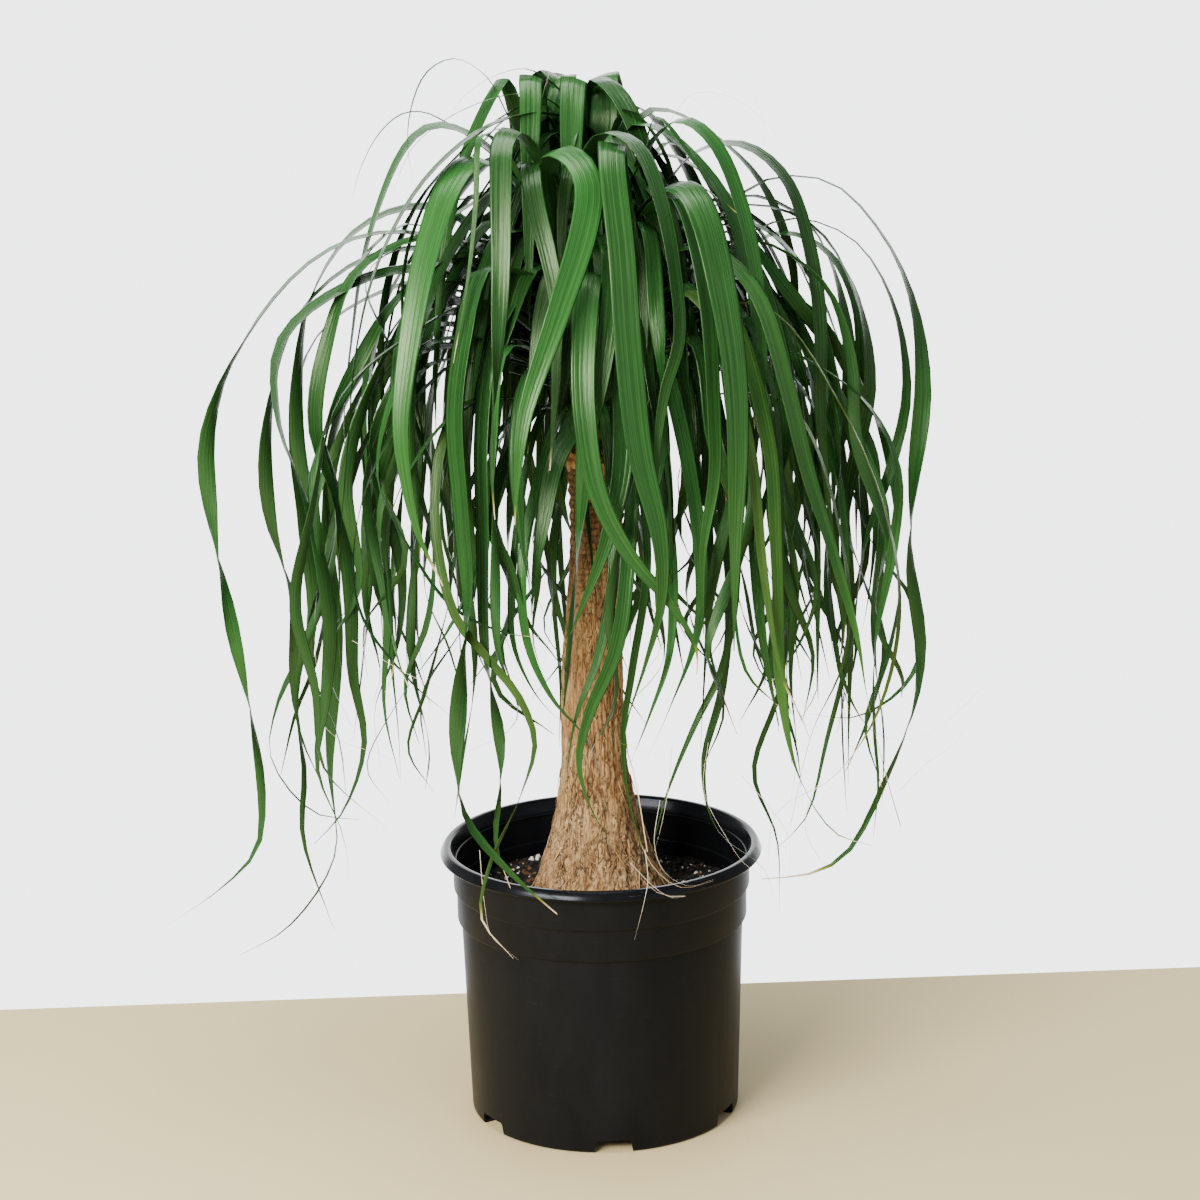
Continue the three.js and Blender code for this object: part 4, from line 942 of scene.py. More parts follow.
def fibrous_bark(look):
    """Ponytail palm bark: corky and fibrous, split by fine upright cracks, so it is matt and pale."""
    material, tree, shader, place = new_material("Fibrous palm bark")
    depth = add(tree, ATTRIBUTE, attribute_name="depth").outputs["Fac"]
    up = add(tree, SPLIT, {0: place}).outputs[2]
    # The fibres wander sideways by up to 3 mm
    wander = add(tree, NOISE, {"Vector": place, "Scale": 70.0, "Detail": 5.0, "Roughness": 0.6})
    astray = add(tree, VECTOR, {0: wander.outputs[1], 3: 0.006}, operation="SCALE")
    astray = add(tree, VECTOR, {0: place, 1: astray}, operation="ADD")
    # Cork plates about 3.5 mm wide and 25 mm tall, with a crack between each and the next
    tall = add(tree, MAPPING, {"Vector": astray, "Scale": (1.0, 1.0, 0.14)})
    plates = add(tree, VORONOI, {"Vector": tall, "Scale": 280.0}, feature="DISTANCE_TO_EDGE")
    shades = add(tree, VORONOI, {"Vector": tall, "Scale": 280.0}, feature="F1")
    shades = add(tree, SPLIT, {0: shades.outputs["Color"]}).outputs[0]
    # Fibres about 1.3 mm across and 20 mm long
    upright = add(tree, MAPPING, {"Vector": astray, "Scale": (1.0, 1.0, 0.08)})
    fibres = add(tree, NOISE, {"Vector": upright, "Scale": 480.0, "Detail": 5.0, "Roughness": 0.62})
    # Patches of weathering 40 mm across
    weather = add(tree, NOISE, {"Vector": place, "Scale": 26.0, "Detail": 4.0})
    weather = add(tree, MATH, {0: shades, 1: 0.24, 2: weather}, operation="MULTIPLY_ADD")
    tans = [(0.4, look.bark_warm), (0.62, look.bark), (0.8, look.bark_pale)]
    colour = add(tree, RAMP, {0: weather}, stops=tans)
    pale = add(tree, RAMP, {0: fibres}, stops=[(0.5, 0.0), (0.66, 0.5)])
    colour = add(tree, MIX, {0: pale, 6: colour, 7: linear("#dbbd8c")}, data_type="RGBA")
    dark = add(tree, RAMP, {0: fibres}, stops=[(0.34, 0.75), (0.48, 0.0)])
    colour = add(tree, MIX, {0: dark, 6: colour, 7: look.crack}, data_type="RGBA")
    # Cracks open only where the bark has dried most
    open_to = add(tree, NOISE, {"Vector": tall, "Scale": 90.0, "Detail": 2.0})
    open_to = add(tree, RANGE, {0: open_to, 1: 0.42, 2: 0.62, 3: 0.0, 4: 0.085})
    cracks = add(tree, RANGE, {0: plates, 1: 0.0, 2: open_to, 3: 0.76, 4: 0.0})
    colour = add(tree, MIX, {0: cracks, 6: colour, 7: look.crack}, data_type="RGBA")
    # Low places hold dust and shade
    shade = add(tree, MATH, {0: depth, 1: 0.7}, operation="MULTIPLY")
    colour = add(tree, MIX, {0: shade, 6: colour, 7: look.crack}, data_type="RGBA")
    # Ring scars of shed leaves near the neck, about 5 mm apart
    wander = add(tree, MATH, {0: wander, 1: 0.008, 2: up}, operation="MULTIPLY_ADD")
    wander = add(tree, MATH, {0: wander, 1: 1150.0}, operation="MULTIPLY")
    rings = add(tree, MATH, {0: wander}, operation="SINE")
    rings = add(tree, RAMP, {0: rings}, stops=[(0.2, 0.0), (0.9, 1.0)])
    high = add(tree, RANGE, {0: up, 1: 0.4, 2: 0.52, 3: 0.0, 4: 0.6})
    colour = add(tree, MIX, {0: high, 6: colour, 7: linear("#80654a")}, data_type="RGBA")
    scars = add(tree, MATH, {0: rings, 1: high}, operation="MULTIPLY")
    colour = add(tree, MIX, {0: scars, 6: colour, 7: linear("#4f3a28")}, data_type="RGBA")
    # Lichen and lime specks of 1 to 2 mm near the foot
    specks = add(tree, NOISE, {"Vector": place, "Scale": 700.0, "Detail": 2.0})
    specks = add(tree, RAMP, {0: specks}, stops=[(0.66, 0.0), (0.7, 1.0)])
    low = add(tree, RANGE, {0: up, 1: 0.21, 2: 0.34, 3: 0.5, 4: 0.0})
    specks = add(tree, MATH, {0: specks, 1: low}, operation="MULTIPLY")
    colour = add(tree, MIX, {0: specks, 6: colour, 7: linear("#e9e0cd")}, data_type="RGBA")
    # Bluish grey patches of lime from tap water, 10 mm across
    patches = add(tree, NOISE, {"Vector": astray, "Scale": 85.0, "Detail": 5.0, "Roughness": 0.7})
    patches = add(tree, RAMP, {0: patches}, stops=[(0.64, 0.0), (0.7, 0.9)])
    patches = add(tree, MATH, {0: patches, 1: low}, operation="MULTIPLY")
    colour = add(tree, MIX, {0: patches, 6: colour, 7: linear("#aab0ac")}, data_type="RGBA")
    relief = add(tree, MATH, {0: scars, 1: -0.5, 2: fibres}, operation="MULTIPLY_ADD")
    relief = add(tree, MATH, {0: cracks, 1: -0.9, 2: relief}, operation="MULTIPLY_ADD")
    rough = add(tree, BUMP, {"Height": relief, "Strength": 1.0, "Distance": 0.003})
    finish(tree, shader, {"Base Color": colour, "Normal": rough}, Roughness=0.88, IOR=1.45)
    return material


def moulded_pot(look):
    """Black moulded polyethylene: satin from the mould, a little dusty, with fine scuffs."""
    material, tree, shader, place = new_material("Moulded black polyethylene")
    up = add(tree, SPLIT, {0: place}).outputs[2]
    # Dust in patches of about 35 mm
    streaky = add(tree, MAPPING, {"Vector": place, "Scale": (1.0, 1.0, 0.35)})
    dust = add(tree, NOISE, {"Vector": streaky, "Scale": 28.0, "Detail": 5.0, "Roughness": 0.6})
    colour = add(tree, RAMP, {0: dust}, stops=[(0.35, look.black), (0.8, "#131416")])
    # Scuffs 1 mm high and up to 20 mm long round the pot, most of them on the lip
    level = add(tree, MAPPING, {"Vector": place, "Scale": (1.0, 1.0, 14.0)})
    scuffs = add(tree, NOISE, {"Vector": level, "Scale": 52.0, "Detail": 4.0, "Roughness": 0.7})
    scuffs = add(tree, RAMP, {0: scuffs}, stops=[(0.66, 0.0), (0.74, 1.0)])
    lip = add(tree, RANGE, {0: up, 1: 0.218, 2: 0.226, 3: 0.12, 4: 0.6})
    scuffs = add(tree, MATH, {0: scuffs, 1: lip}, operation="MULTIPLY")
    colour = add(tree, MIX, {0: scuffs, 6: colour, 7: linear("#62625e")}, data_type="RGBA")
    gloss = add(tree, MATH, {0: dust, 1: 0.2, 2: 0.42}, operation="MULTIPLY_ADD")
    # Hands keep the lip clean and polished, and dust dulls the rest
    gloss = add(tree, MATH, {0: lip, 1: -0.52, 2: gloss}, operation="MULTIPLY_ADD")
    # The mould's fine grain, about 1 mm
    fine = add(tree, NOISE, {"Vector": place, "Scale": 900.0})
    grain = add(tree, BUMP, {"Height": fine, "Strength": 0.12, "Distance": 0.0003})
    finish(
        tree,
        shader,
        {"Base Color": colour, "Roughness": gloss, "Normal": grain},
        IOR=1.5,
        Specular_IOR_Level=0.14,
        Specular_Tint=linear("#d8dfec"),
    )
    return material


def potting_mix(look):
    """Peat and composted bark: dark, crumbly and matt."""
    material, tree, shader, place = new_material("Peat and bark potting mix")
    # Crumbs of about 4 mm
    crumbs = add(tree, NOISE, {"Vector": place, "Scale": 240.0, "Detail": 6.0, "Roughness": 0.7})
    colour = add(tree, RAMP, {0: crumbs}, stops=[(0.3, "#090706"), (0.5, look.mix), (0.7, "#2c251d")])
    rough = add(tree, BUMP, {"Height": crumbs, "Strength": 1.0, "Distance": 0.003})
    finish(tree, shader, {"Base Color": colour, "Normal": rough}, Roughness=0.95)
    return material


def grain_finish(name, low, high, rough):
    """Grains of one kind in the mix, porous and matt, each with a tone of its own."""
    material, tree, shader, place = new_material(name)
    tone = add(tree, ATTRIBUTE, attribute_name="tone").outputs["Fac"]
    colour = add(tree, MIX, {0: tone, 6: linear(low), 7: linear(high)}, data_type="RGBA")
    pores = add(tree, NOISE, {"Vector": place, "Scale": 500.0})
    pores = add(tree, MATH, {0: pores, 1: 0.5}, operation="MULTIPLY")
    colour = add(tree, MIX, {0: pores, 6: colour, 7: linear(low)}, data_type="RGBA")
    finish(tree, shader, {"Base Color": colour}, Roughness=rough)
    return material


def studio_floor(look):
    """Painted board: matt and even."""
    material, tree, shader, place = new_material("Pale painted floor")
    uneven = add(tree, NOISE, {"Vector": place, "Scale": 3.0})
    colour = add(tree, MIX, {0: uneven, 6: look.floor, 7: linear("#cfbd8c")}, data_type="RGBA")
    finish(tree, shader, {"Base Color": colour}, Roughness=0.8)
    return material


def colour_choice(label, code, note):
    """A colour setting with its usual colour."""
    return FloatVectorProperty(
        name=label, description=note, default=linear(code), size=4, min=0, max=1, subtype="COLOR"
    )


def count_choice(label, usual, most, note, least=0):
    """A whole number as a setting."""
    return IntProperty(name=label, description=note, default=usual, min=least, max=most)


class PotLook(bpy.types.PropertyGroup):
    """Settings of the pot"""

    black: colour_choice("Pot black", "#0a0b0e", "Colour of the moulded plastic")
    segments: count_choice("Round", 168, 360, "Faces round the pot", least=48)


class SoilLook(bpy.types.PropertyGroup):
    """Settings of the potting mix"""

    mix: colour_choice("Potting mix", "#181410", "Colour of the peat")
    perlite: count_choice("Perlite", 250, 3000, "White grains in the surface")
    chips: count_choice("Bark chips", 110, 3000, "Brown chips in the surface")
    crumbs: count_choice("Crumbs", 1300, 4000, "Dark crumbs in the surface")


class TrunkLook(bpy.types.PropertyGroup):
    """Settings of the trunk"""

    bark: colour_choice("Bark", "#ae8656", "Main colour of the bark")
    bark_warm: colour_choice("Warm bark", "#8d6238", "Colour of the browner patches")
    bark_pale: colour_choice("Pale bark", "#c5a373", "Colour of the weathered patches")
    crack: colour_choice("Cracks", "#452a14", "Colour inside the cracks")
    relief: FloatProperty(
        name="Relief",
        description="Depth of the upright cracks",
        default=0.0022,
        min=0,
        max=0.004,
        unit="LENGTH",
    )


class LeafLook(bpy.types.PropertyGroup):
    """Settings of the head of leaves"""

    deep: colour_choice("Deep green", "#10230f", "Colour of the darkest leaves")
    fresh: colour_choice("Fresh green", "#1e4f1e", "Colour of the freshest leaves")
    pale: colour_choice("Pale streaks", "#4b7f40", "Colour of the veins and the streaks")
    underside: colour_choice("Underside", "#1f401d", "Colour of the leaves from below")
    yellow: colour_choice("Yellowing", "#8c8f3a", "Colour where a leaf is dying back")
    gloss: FloatProperty(
        name="Gloss", description="Least roughness of the wax", default=0.13, min=0, max=1
    )
    gutter: FloatProperty(
        name="Gutter", description="How far the edges rise", default=0.2, min=0, max=0.6
    )
    heart: count_choice("Inner leaves", 84, 200, "Leaves inside the head", least=2)
    skirt: count_choice("Skirt leaves", 104, 200, "Leaves that hang below it", least=2)


class StudioLook(bpy.types.PropertyGroup):
    """Settings of the floor and the light"""

    floor: colour_choice("Floor", "#d6c493", "Colour of the floor")
    world: colour_choice("Surroundings", "#fbfdfd", "Colour of the light from all round")
    backdrop: FloatProperty(
        name="Far side", description="Light from behind the plant", default=3.9, min=0
    )
    ambient: FloatProperty(
        name="Near side", description="Light from the viewer's side", default=0.45, min=0
    )
    key: FloatProperty(
        name="Key light", description="Power of the main light", default=155, min=0, unit="POWER"
    )


def lathe(profile, segments):
    """A closed shell turned round Z from a profile of radius and height that ends on the axis."""
    shape = bmesh.new()
    rings = []
    for radius, height in profile:
        if radius == 0:
            rings.append([shape.verts.new((0, 0, height * MM))])
            continue
        reach, ring = radius * MM, []
        for k in range(segments):
            angle = 2 * math.pi * k / segments
            place = (reach * math.cos(angle), reach * math.sin(angle), height * MM)
            ring.append(shape.verts.new(place))
        rings.append(ring)
    for low, high in zip(rings, rings[1:]):
        for k in range(segments):
            j = (k + 1) % segments
            corners = [low[k % len(low)], low[j % len(low)], high[j % len(high)], high[k % len(high)]]
            shape.faces.new(list(dict.fromkeys(corners)))
    return mesh_from(shape, "lathe")


def arc(centre, radius, start, end, count):
    """Points of a rounding in a profile, by its angles in degrees."""
    return [
        (centre[0] + radius * math.cos(math.radians(a)), centre[1] + radius * math.sin(math.radians(a)))
        for a in np.linspace(start, end, count)
    ]


def pot_profile():
    """The pot's outline from the middle of its underside, up outside, over the lip and down inside."""
    upper, lower = BAND_RADIUS
    upper_foot, lower_foot = BAND_FOOT
    rim, wall = RIM_RADIUS, POT_WALL
    return [
        (0, 0),
        (40, 0),
        (FOOT_RADIUS - 3.2, 0),
        *arc((FOOT_RADIUS - FOOT_ROUNDING, FOOT_ROUNDING), FOOT_ROUNDING, -90, 0, 5),
        (SHOULDER_RADIUS, lower_foot - 3),
        *arc((SHOULDER_RADIUS + 0.9, lower_foot - 1.6), 1.1, 180, 90, 3),
        *arc((lower - 1.6, lower_foot + 1.2), 1.6, -60, 0, 4),
        (lower, upper_foot - 2.8),
        *arc((lower + 0.8, upper_foot - 1.8), 0.8, 180, 90, 3),
        *arc((upper - 1.5, upper_foot + 0.9), 1.5, -60, 0, 4),
        (upper, LIP_UNDERSIDE - 2.4),
        *arc((upper + 1.6, LIP_UNDERSIDE - 1.4), 1.6, 180, 90, 4),
        (rim - 5.4, LIP_UNDERSIDE - 0.1),
        *arc((rim - 1.6, LIP_UNDERSIDE + 1.5), 1.5, -90, 0, 6),
        *arc((rim - 16.15, POT_HEIGHT - 11.2), 16.5, 18, 35, 6),
        *arc((rim - 5.2, POT_HEIGHT - 2.8), 2.8, 42, 96, 6),
        *arc((rim - 6.4, POT_HEIGHT - 3.0), 3.0, 100, 160, 5),
        (upper - wall + 1.2, LIP_UNDERSIDE + 1),
        (upper - wall + 0.3, LIP_UNDERSIDE - 1.6),
        (upper - wall, upper_foot + 24.4),
        *arc((upper - wall, upper_foot + 23.2), 1.1, 90, 270, 6),
        (upper - wall - 0.3, upper_foot + 21.9),
        (upper - wall - 0.3, upper_foot + 1.2),
        *arc((lower - wall + 1.1, upper_foot - 0.6), 1.6, 100, 200, 5),
        (lower - wall, upper_foot - 3),
        (lower - wall, lower_foot + 2.5),
        (SHOULDER_RADIUS - wall, lower_foot - 1.5),
        (FOOT_RADIUS - wall, 4.5),
        (FOOT_RADIUS - wall - 2, POT_FLOOR),
        (40, POT_FLOOR),
        (0, POT_FLOOR),
    ]


def notch_cutters():
    """The cutters of the drain notches, as one mesh."""
    shape = bmesh.new()
    near, far = (FOOT_RADIUS - NOTCH_REACH) * MM, (FOOT_RADIUS + 6) * MM
    outline = [
        (-NOTCH_FOOT_WIDTH / 2, -2),
        (NOTCH_FOOT_WIDTH / 2, -2),
        (NOTCH_TOP_WIDTH / 2 + 0.6, NOTCH_HEIGHT - 1.6),
        (NOTCH_TOP_WIDTH / 2 - 1.2, NOTCH_HEIGHT),
        (1.2 - NOTCH_TOP_WIDTH / 2, NOTCH_HEIGHT),
        (-NOTCH_TOP_WIDTH / 2 - 0.6, NOTCH_HEIGHT - 1.6),
    ]
    for i in range(NOTCH_COUNT):
        turn = Matrix.Rotation(math.radians(NOTCH_TURN_DEG + 360 / NOTCH_COUNT * i), 3, "Z")
        ends = [
            [shape.verts.new(turn @ Vector((x * MM, -reach, z * MM))) for x, z in outline]
            for reach in (near, far)
        ]
        shape.faces.new(ends[0])
        shape.faces.new(ends[1][::-1])
        for k in range(len(outline)):
            j = (k + 1) % len(outline)
            shape.faces.new([ends[0][j], ends[0][k], ends[1][k], ends[1][j]])
    bmesh.ops.recalc_face_normals(shape, faces=shape.faces)
    return mesh_from(shape, "notches")


class PALM_OT_pot(bpy.types.Operator):
    """Makes the moulded pot with its rolled lip, stacking bands and drain notches"""

    bl_idname = "palm.pot"
    bl_label = "Nursery pot"

    def execute(self, context):
        look = context.scene.palm_pot
        pot = show("pot_shell", lathe(pot_profile(), look.segments), moulded_pot(look))
        face_out(pot.data)
        cutter = show("notch_cutter", notch_cutters())
        cut = pot.modifiers.new("notches", "BOOLEAN")
        cut.operation = "DIFFERENCE"
        cut.solver = "MANIFOLD"
        cut.object = cutter
        settle(pot)
        bpy.data.objects.remove(cutter)
        pot.data.shade_smooth()
        pot.data.set_sharp_from_angle(angle=math.radians(38))
        join_up(pot, "pot", "pot")
        return {"FINISHED"}


def soil_level(x, y):
    """Height of the soil's surface, in millimetres."""
    return SOIL_LEVEL + 1.6 * math.sin(x / 13 + 1) * math.cos(y / 17) + 1.2 * math.sin(x / 7 - y / 9)


def soil_mesh(rings=46, sides=180):
    """The soil's body: its fine, crumbly surface and the plain sides and foot that the pot hides."""
    gap = POT_WALL + SOIL_GAP
    foot, shoulder, edge = FOOT_RADIUS - gap, SHOULDER_RADIUS - gap, BAND_RADIUS[1] - gap
    low, ledge = POT_FLOOR + SOIL_GAP, NOTCH_HEIGHT + 1.2
    profile = [
        (0, low),
        (60, low),
        (foot - NOTCH_REACH, low),
        (foot - NOTCH_REACH, ledge),
        (foot, ledge),
        (shoulder, BAND_FOOT[1] - 1.5),
        (edge, BAND_FOOT[1] + 2.7),
    ]
    # The surface starts at height 0, which marks its points, and is raised below
    profile += [(mix(edge, 40, (k / rings) ** 1.05), 0) for k in range(rings + 1)]
    profile.append((0, SOIL_LEVEL - 6))
    mesh = lathe(profile, sides)
    for vertex in mesh.vertices:
        x, y, z = vertex.co
        radius = math.hypot(x, y) / MM
        if z == 0 and radius > 1:
            bump = noise.fractal(Vector((x, y, 0)) * 90, 0.7, 2.1, 6) * 2.6
            vertex.co.z = (soil_level(x / MM, y / MM) + bump * min(1, (edge - radius) / 4)) * MM
    face_out(mesh)
    return mesh


def lump_mesh(name, spots, flat):
    """Rough lumps that lie in the soil's surface."""
    shape = bmesh.new()
    for x, y, size in spots:
        place = Vector((x, y, soil_level(x, y) + size * flat * 0.35)) * MM
        turned = Matrix.Rotation(x, 4, "Z") @ Matrix.Diagonal((1, 0.75, flat, 1))
        to_place = Matrix.Translation(place) @ turned
        made = bmesh.ops.create_icosphere(shape, subdivisions=3, radius=size / 2 * MM, matrix=to_place)
        for vertex in made["verts"]:
            vertex.co += (vertex.co - place) * 0.35 * noise.fractal(vertex.co * 450, 0.8, 2.0, 3)
    mesh = mesh_from(shape, name)
    mark(mesh, "tone", [0.7] * len(mesh.vertices))
    return mesh


def grain_tree():
    """Grains scattered over the soil that shows, turned and sized by a seed."""
    known = bpy.data.node_groups.get("Grains in the soil")
    if known:
        return known
    tree, given = new_tree(
        "Grains in the soil",
        {
            "Number": ("NodeSocketInt", 400),
            "Inner radius": ("NodeSocketFloat", 0.05),
            "Outer radius": ("NodeSocketFloat", 0.117),
            "Smallest": ("NodeSocketFloat", 0.001),
            "Largest": ("NodeSocketFloat", 0.003),
            "Long": ("NodeSocketFloat", 1.0),
            "Flat": ("NodeSocketFloat", 1.0),
            "Lift": ("NodeSocketFloat", 0.001),
            "Seed": ("NodeSocketInt", 1),
            "Material": ("NodeSocketMaterial", None),
        },
    )
    points = add(tree, "GeometryNodePoints", {"Count": given.outputs["Number"]})
    inner = add(tree, MATH, {0: given.outputs["Inner radius"], 1: 2.0}, operation="POWER")
    outer = add(tree, MATH, {0: given.outputs["Outer radius"], 1: 2.0}, operation="POWER")
    ranges = {
        "reach": (inner, outer),
        "angle": (0.0, 2 * math.pi),
        "tone": (0.0, 1.0),
        "size": (given.outputs["Smallest"], given.outputs["Largest"]),
        "pitch": (-0.5, 0.5),
        "lean": (-0.5, 0.5),
        "turn": (0.0, 2 * math.pi),
    }
    drawn = {}
    for salt, (name, (low, high)) in enumerate(ranges.items()):
        seed = add(tree, MATH, {0: given.outputs["Seed"], 1: 17.0 * salt}, operation="ADD")
        links = {2: low, 3: high, "Seed": seed}
        drawn[name] = add(tree, "FunctionNodeRandomValue", links, data_type="FLOAT")
    reach = add(tree, MATH, {0: drawn["reach"], 1: 0.5}, operation="POWER")
    cosine = add(tree, MATH, {0: drawn["angle"]}, operation="COSINE")
    sine = add(tree, MATH, {0: drawn["angle"]}, operation="SINE")
    x = add(tree, MATH, {0: reach, 1: cosine}, operation="MULTIPLY")
    y = add(tree, MATH, {0: reach, 1: sine}, operation="MULTIPLY")
    above = add(tree, JOIN, {0: x, 1: y, 2: 0.25})
    links = {
        "Target Geometry": given.outputs["Geometry"],
        "Source Position": above,
        "Ray Direction": (0, 0, -1),
    }
    hit = add(tree, "GeometryNodeRaycast", links)
    high = add(tree, SPLIT, {0: hit.outputs["Hit Position"]}).outputs[2]
    high = add(tree, MATH, {0: high, 1: given.outputs["Lift"]}, operation="ADD")
    spot = add(tree, JOIN, {0: x, 1: y, 2: high})
    laid = add(tree, MOVE, {"Geometry": points, "Position": spot})
    links = {"Geometry": laid, "Name": "tone", "Value": drawn["tone"]}
    toned = add(tree, STORE, links, data_type="FLOAT", domain="POINT")
    size = drawn["size"]
    long = add(tree, MATH, {0: size, 1: given.outputs["Long"]}, operation="MULTIPLY")
    flat = add(tree, MATH, {0: size, 1: given.outputs["Flat"]}, operation="MULTIPLY")
    scale = add(tree, JOIN, {0: long, 1: size, 2: flat})
    turn = add(tree, JOIN, {0: drawn["pitch"], 1: drawn["lean"], 2: drawn["turn"]})
    grain = add(tree, "GeometryNodeMeshIcoSphere", {"Radius": 1.0, "Subdivisions": 1})
    jag = add(tree, NOISE, {"Vector": add(tree, HERE), "Scale": 1.7})
    pushed = add(tree, VECTOR, {0: jag.outputs[1], 1: (0.5, 0.5, 0.5)}, operation="SUBTRACT")
    grain = add(tree, MOVE, {"Geometry": grain, "Offset": pushed})
    links = {"Points": toned, "Instance": grain, "Rotation": turn, "Scale": scale}
    strewn = add(tree, "GeometryNodeInstanceOnPoints", links)
    end_tree(tree, strewn, given.outputs["Material"])
    return tree


class PALM_OT_soil(bpy.types.Operator):
    """Fills the pot with potting mix and strews perlite, bark chips and crumbs over it"""

    bl_idname = "palm.soil"
    bl_label = "Potting mix"

    def execute(self, context):
        look = context.scene.palm_soil
        soil = show("potting_mix", soil_mesh(), potting_mix(look))
        soil.data.shade_smooth()
        # Name, number, least and greatest radius in metres, length, flatness and seed, then the darkest
        # and the palest colour and the roughness
        kinds = [
            ("soil_crumbs", look.crumbs, 0.0008, 0.0029, 1.3, 0.7, 3, ("#070605", "#1b1511", 0.6)),
            ("bark_chips", look.chips, 0.0009, 0.0026, 2.0, 0.45, 5, ("#1c1009", "#84592f", 0.85)),
            ("perlite_dust", look.perlite, 0.0006, 0.0014, 1.1, 0.9, 9, ("#8f8a7e", "#e6e2d8", 0.9)),
            ("perlite", look.perlite // 5, 0.0014, 0.0027, 1.2, 0.85, 12, ("#cfcabd", "#f6f4ee", 0.9)),
        ]
        for name, number, small, large, long, flat, seed, colours in kinds:
            grains = show(name, soil.data.copy())
            values = {
                "Number": number,
                "Inner radius": GRAIN_RING[0],
                "Outer radius": GRAIN_RING[1],
                "Smallest": small,
                "Largest": large,
                "Long": long,
                "Flat": flat,
                "Lift": GRAIN_LIFT,
                "Seed": seed,
                "Material": grain_finish(name.replace("_", " ").capitalize(), *colours),
            }
            apply_tree(grains, grain_tree(), values)
            join_up(grains, "soil")
        perlite = grain_finish("Perlite lumps", "#cfcabd", "#f6f4ee", 0.9)
        bark = grain_finish("Bark lumps", "#2c1a0d", "#84592f", 0.85)
        for name, spots, flat, material in (
            ("perlite_lumps", PERLITE_LUMPS, 0.85, perlite),
            ("bark_lumps", BARK_LUMPS, 0.4, bark),
        ):
            lumps = show(name, lump_mesh(name, spots, flat), material)
            lumps.data.shade_smooth()
            join_up(lumps, "soil")
        join_up(soil, "soil", "soil")
        return {"FINISHED"}


def trunk_at(height):
    """Radius and place across of the trunk at a height."""
    heights = [row[0] for row in TRUNK_OUTLINE]
    radius = float(np.interp(height, heights, [row[1] for row in TRUNK_OUTLINE]))
    across = float(np.interp(height, heights, [row[2] for row in TRUNK_OUTLINE]))
    return radius, across


def trunk_reach(angle, height, radius):
    """How far the bark stands from the trunk's middle before its cracks."""
    neck = smoothstep(height, 500, 550)
    swell = 1 - smoothstep(height, 190, 270)
    flutes = 0.022 * math.sin(3 * angle + height / 60) + 0.016 * math.sin(7 * angle + height / 35)
    buttress = 0.03 * math.sin(5 * angle + 1) * swell
    return radius * (1 + (flutes + buttress) * (1 - neck))


def trunk_mesh(relief, sides=240, step=1.5):
    """The trunk's skin with its upright cracks, ring scars and root flare, and each point's depth."""
    heights = np.arange(TRUNK_FOOT, TRUNK_TOP + 0.01, step)
    heights[-1] = TRUNK_TOP
    # The radius is evened out over 19 rows, so that the outline's corners don't show
    radii = np.pad([trunk_at(height)[0] for height in heights], 9, mode="edge")
    smooth_radius = np.convolve(radii, np.ones(19) / 19, mode="valid")
    profile = [(0, heights[0]), *((1, h) for h in heights), (0, heights[-1])]
    mesh = lathe(profile, sides)
    depth = np.zeros(len(mesh.vertices))
    for vertex in mesh.vertices:
        x, y, z = vertex.co
        if x == 0 and y == 0:
            vertex.co.x = trunk_at(z / MM)[1] * MM
            continue
        angle, height = math.atan2(y, x), z / MM
        row = min(len(heights) - 1, int(round((height - heights[0]) / step)))
        radius, across = smooth_radius[row], trunk_at(height)[1]
        reach = trunk_reach(angle, height, radius)
        place = Vector((reach * math.cos(angle), reach * math.sin(angle), 0))
        coarse = noise.fractal(Vector((place.x, place.y, height * 0.16)) * 0.16, 0.8, 2.1, 4)
        upright = Vector((place.x, place.y, height * 0.07)) * 0.55 + Vector((9, 3, 1))
        fine = noise.fractal(upright, 0.7, 2.2, 4)
        crack = max(0.0, 1 - abs(fine) * 5.5) ** 2
        ring = smoothstep(height, 440, 540) * math.sin(height / 5.2 * math.pi + 1.2 * coarse) * 0.35
        low = 1 - smoothstep(height, 205, 290)
        crumbs = noise.fractal(Vector((place.x, place.y, height)) * 0.3, 0.9, 2.0, 4)
        out = relief / MM * (0.55 * coarse - 0.9 * crack + ring) + low * (1.6 * coarse + 1.1 * crumbs)
        edge = smoothstep(height, TRUNK_TOP - 22, TRUNK_TOP - 16)
        out = min(out, 0.9) * (1 - edge)
        depth[vertex.index] = min(1, max(crack, low * -1.6 * crumbs) * (1 - edge))
        reach += out
        vertex.co = ((across + reach * math.cos(angle)) * MM, reach * math.sin(angle) * MM, z)
    mark(mesh, "depth", depth)
    return mesh


def root_ribbon(draw):
    """A fine root that hangs on the trunk's foot."""
    angle = draw(0, 2 * math.pi)
    height = draw(188, 236) if draw(0, 1) < 0.75 else draw(236, 300)
    length, lean = draw(*FINE_ROOT_LENGTH), draw(-12, 12)
    route = []
    for share in (0, 0.35, 0.7, 1):
        drop = max(SOIL_LEVEL + 3.5, height - length * share)
        radius, across = trunk_at(drop)
        turn = angle + lean * share / 60
        out = trunk_reach(turn, drop, radius) + 0.3 + draw(0.2, 2.2) * share
        route.append((across + out * math.cos(turn), out * math.sin(turn), drop))
    side = (-math.sin(angle), math.cos(angle), 0)
    width = draw(*FINE_ROOT_WIDTH)
    return ribbon(route, width, steps=9, shape=thread_width, start_side=side, tone=draw(0.4, 1))


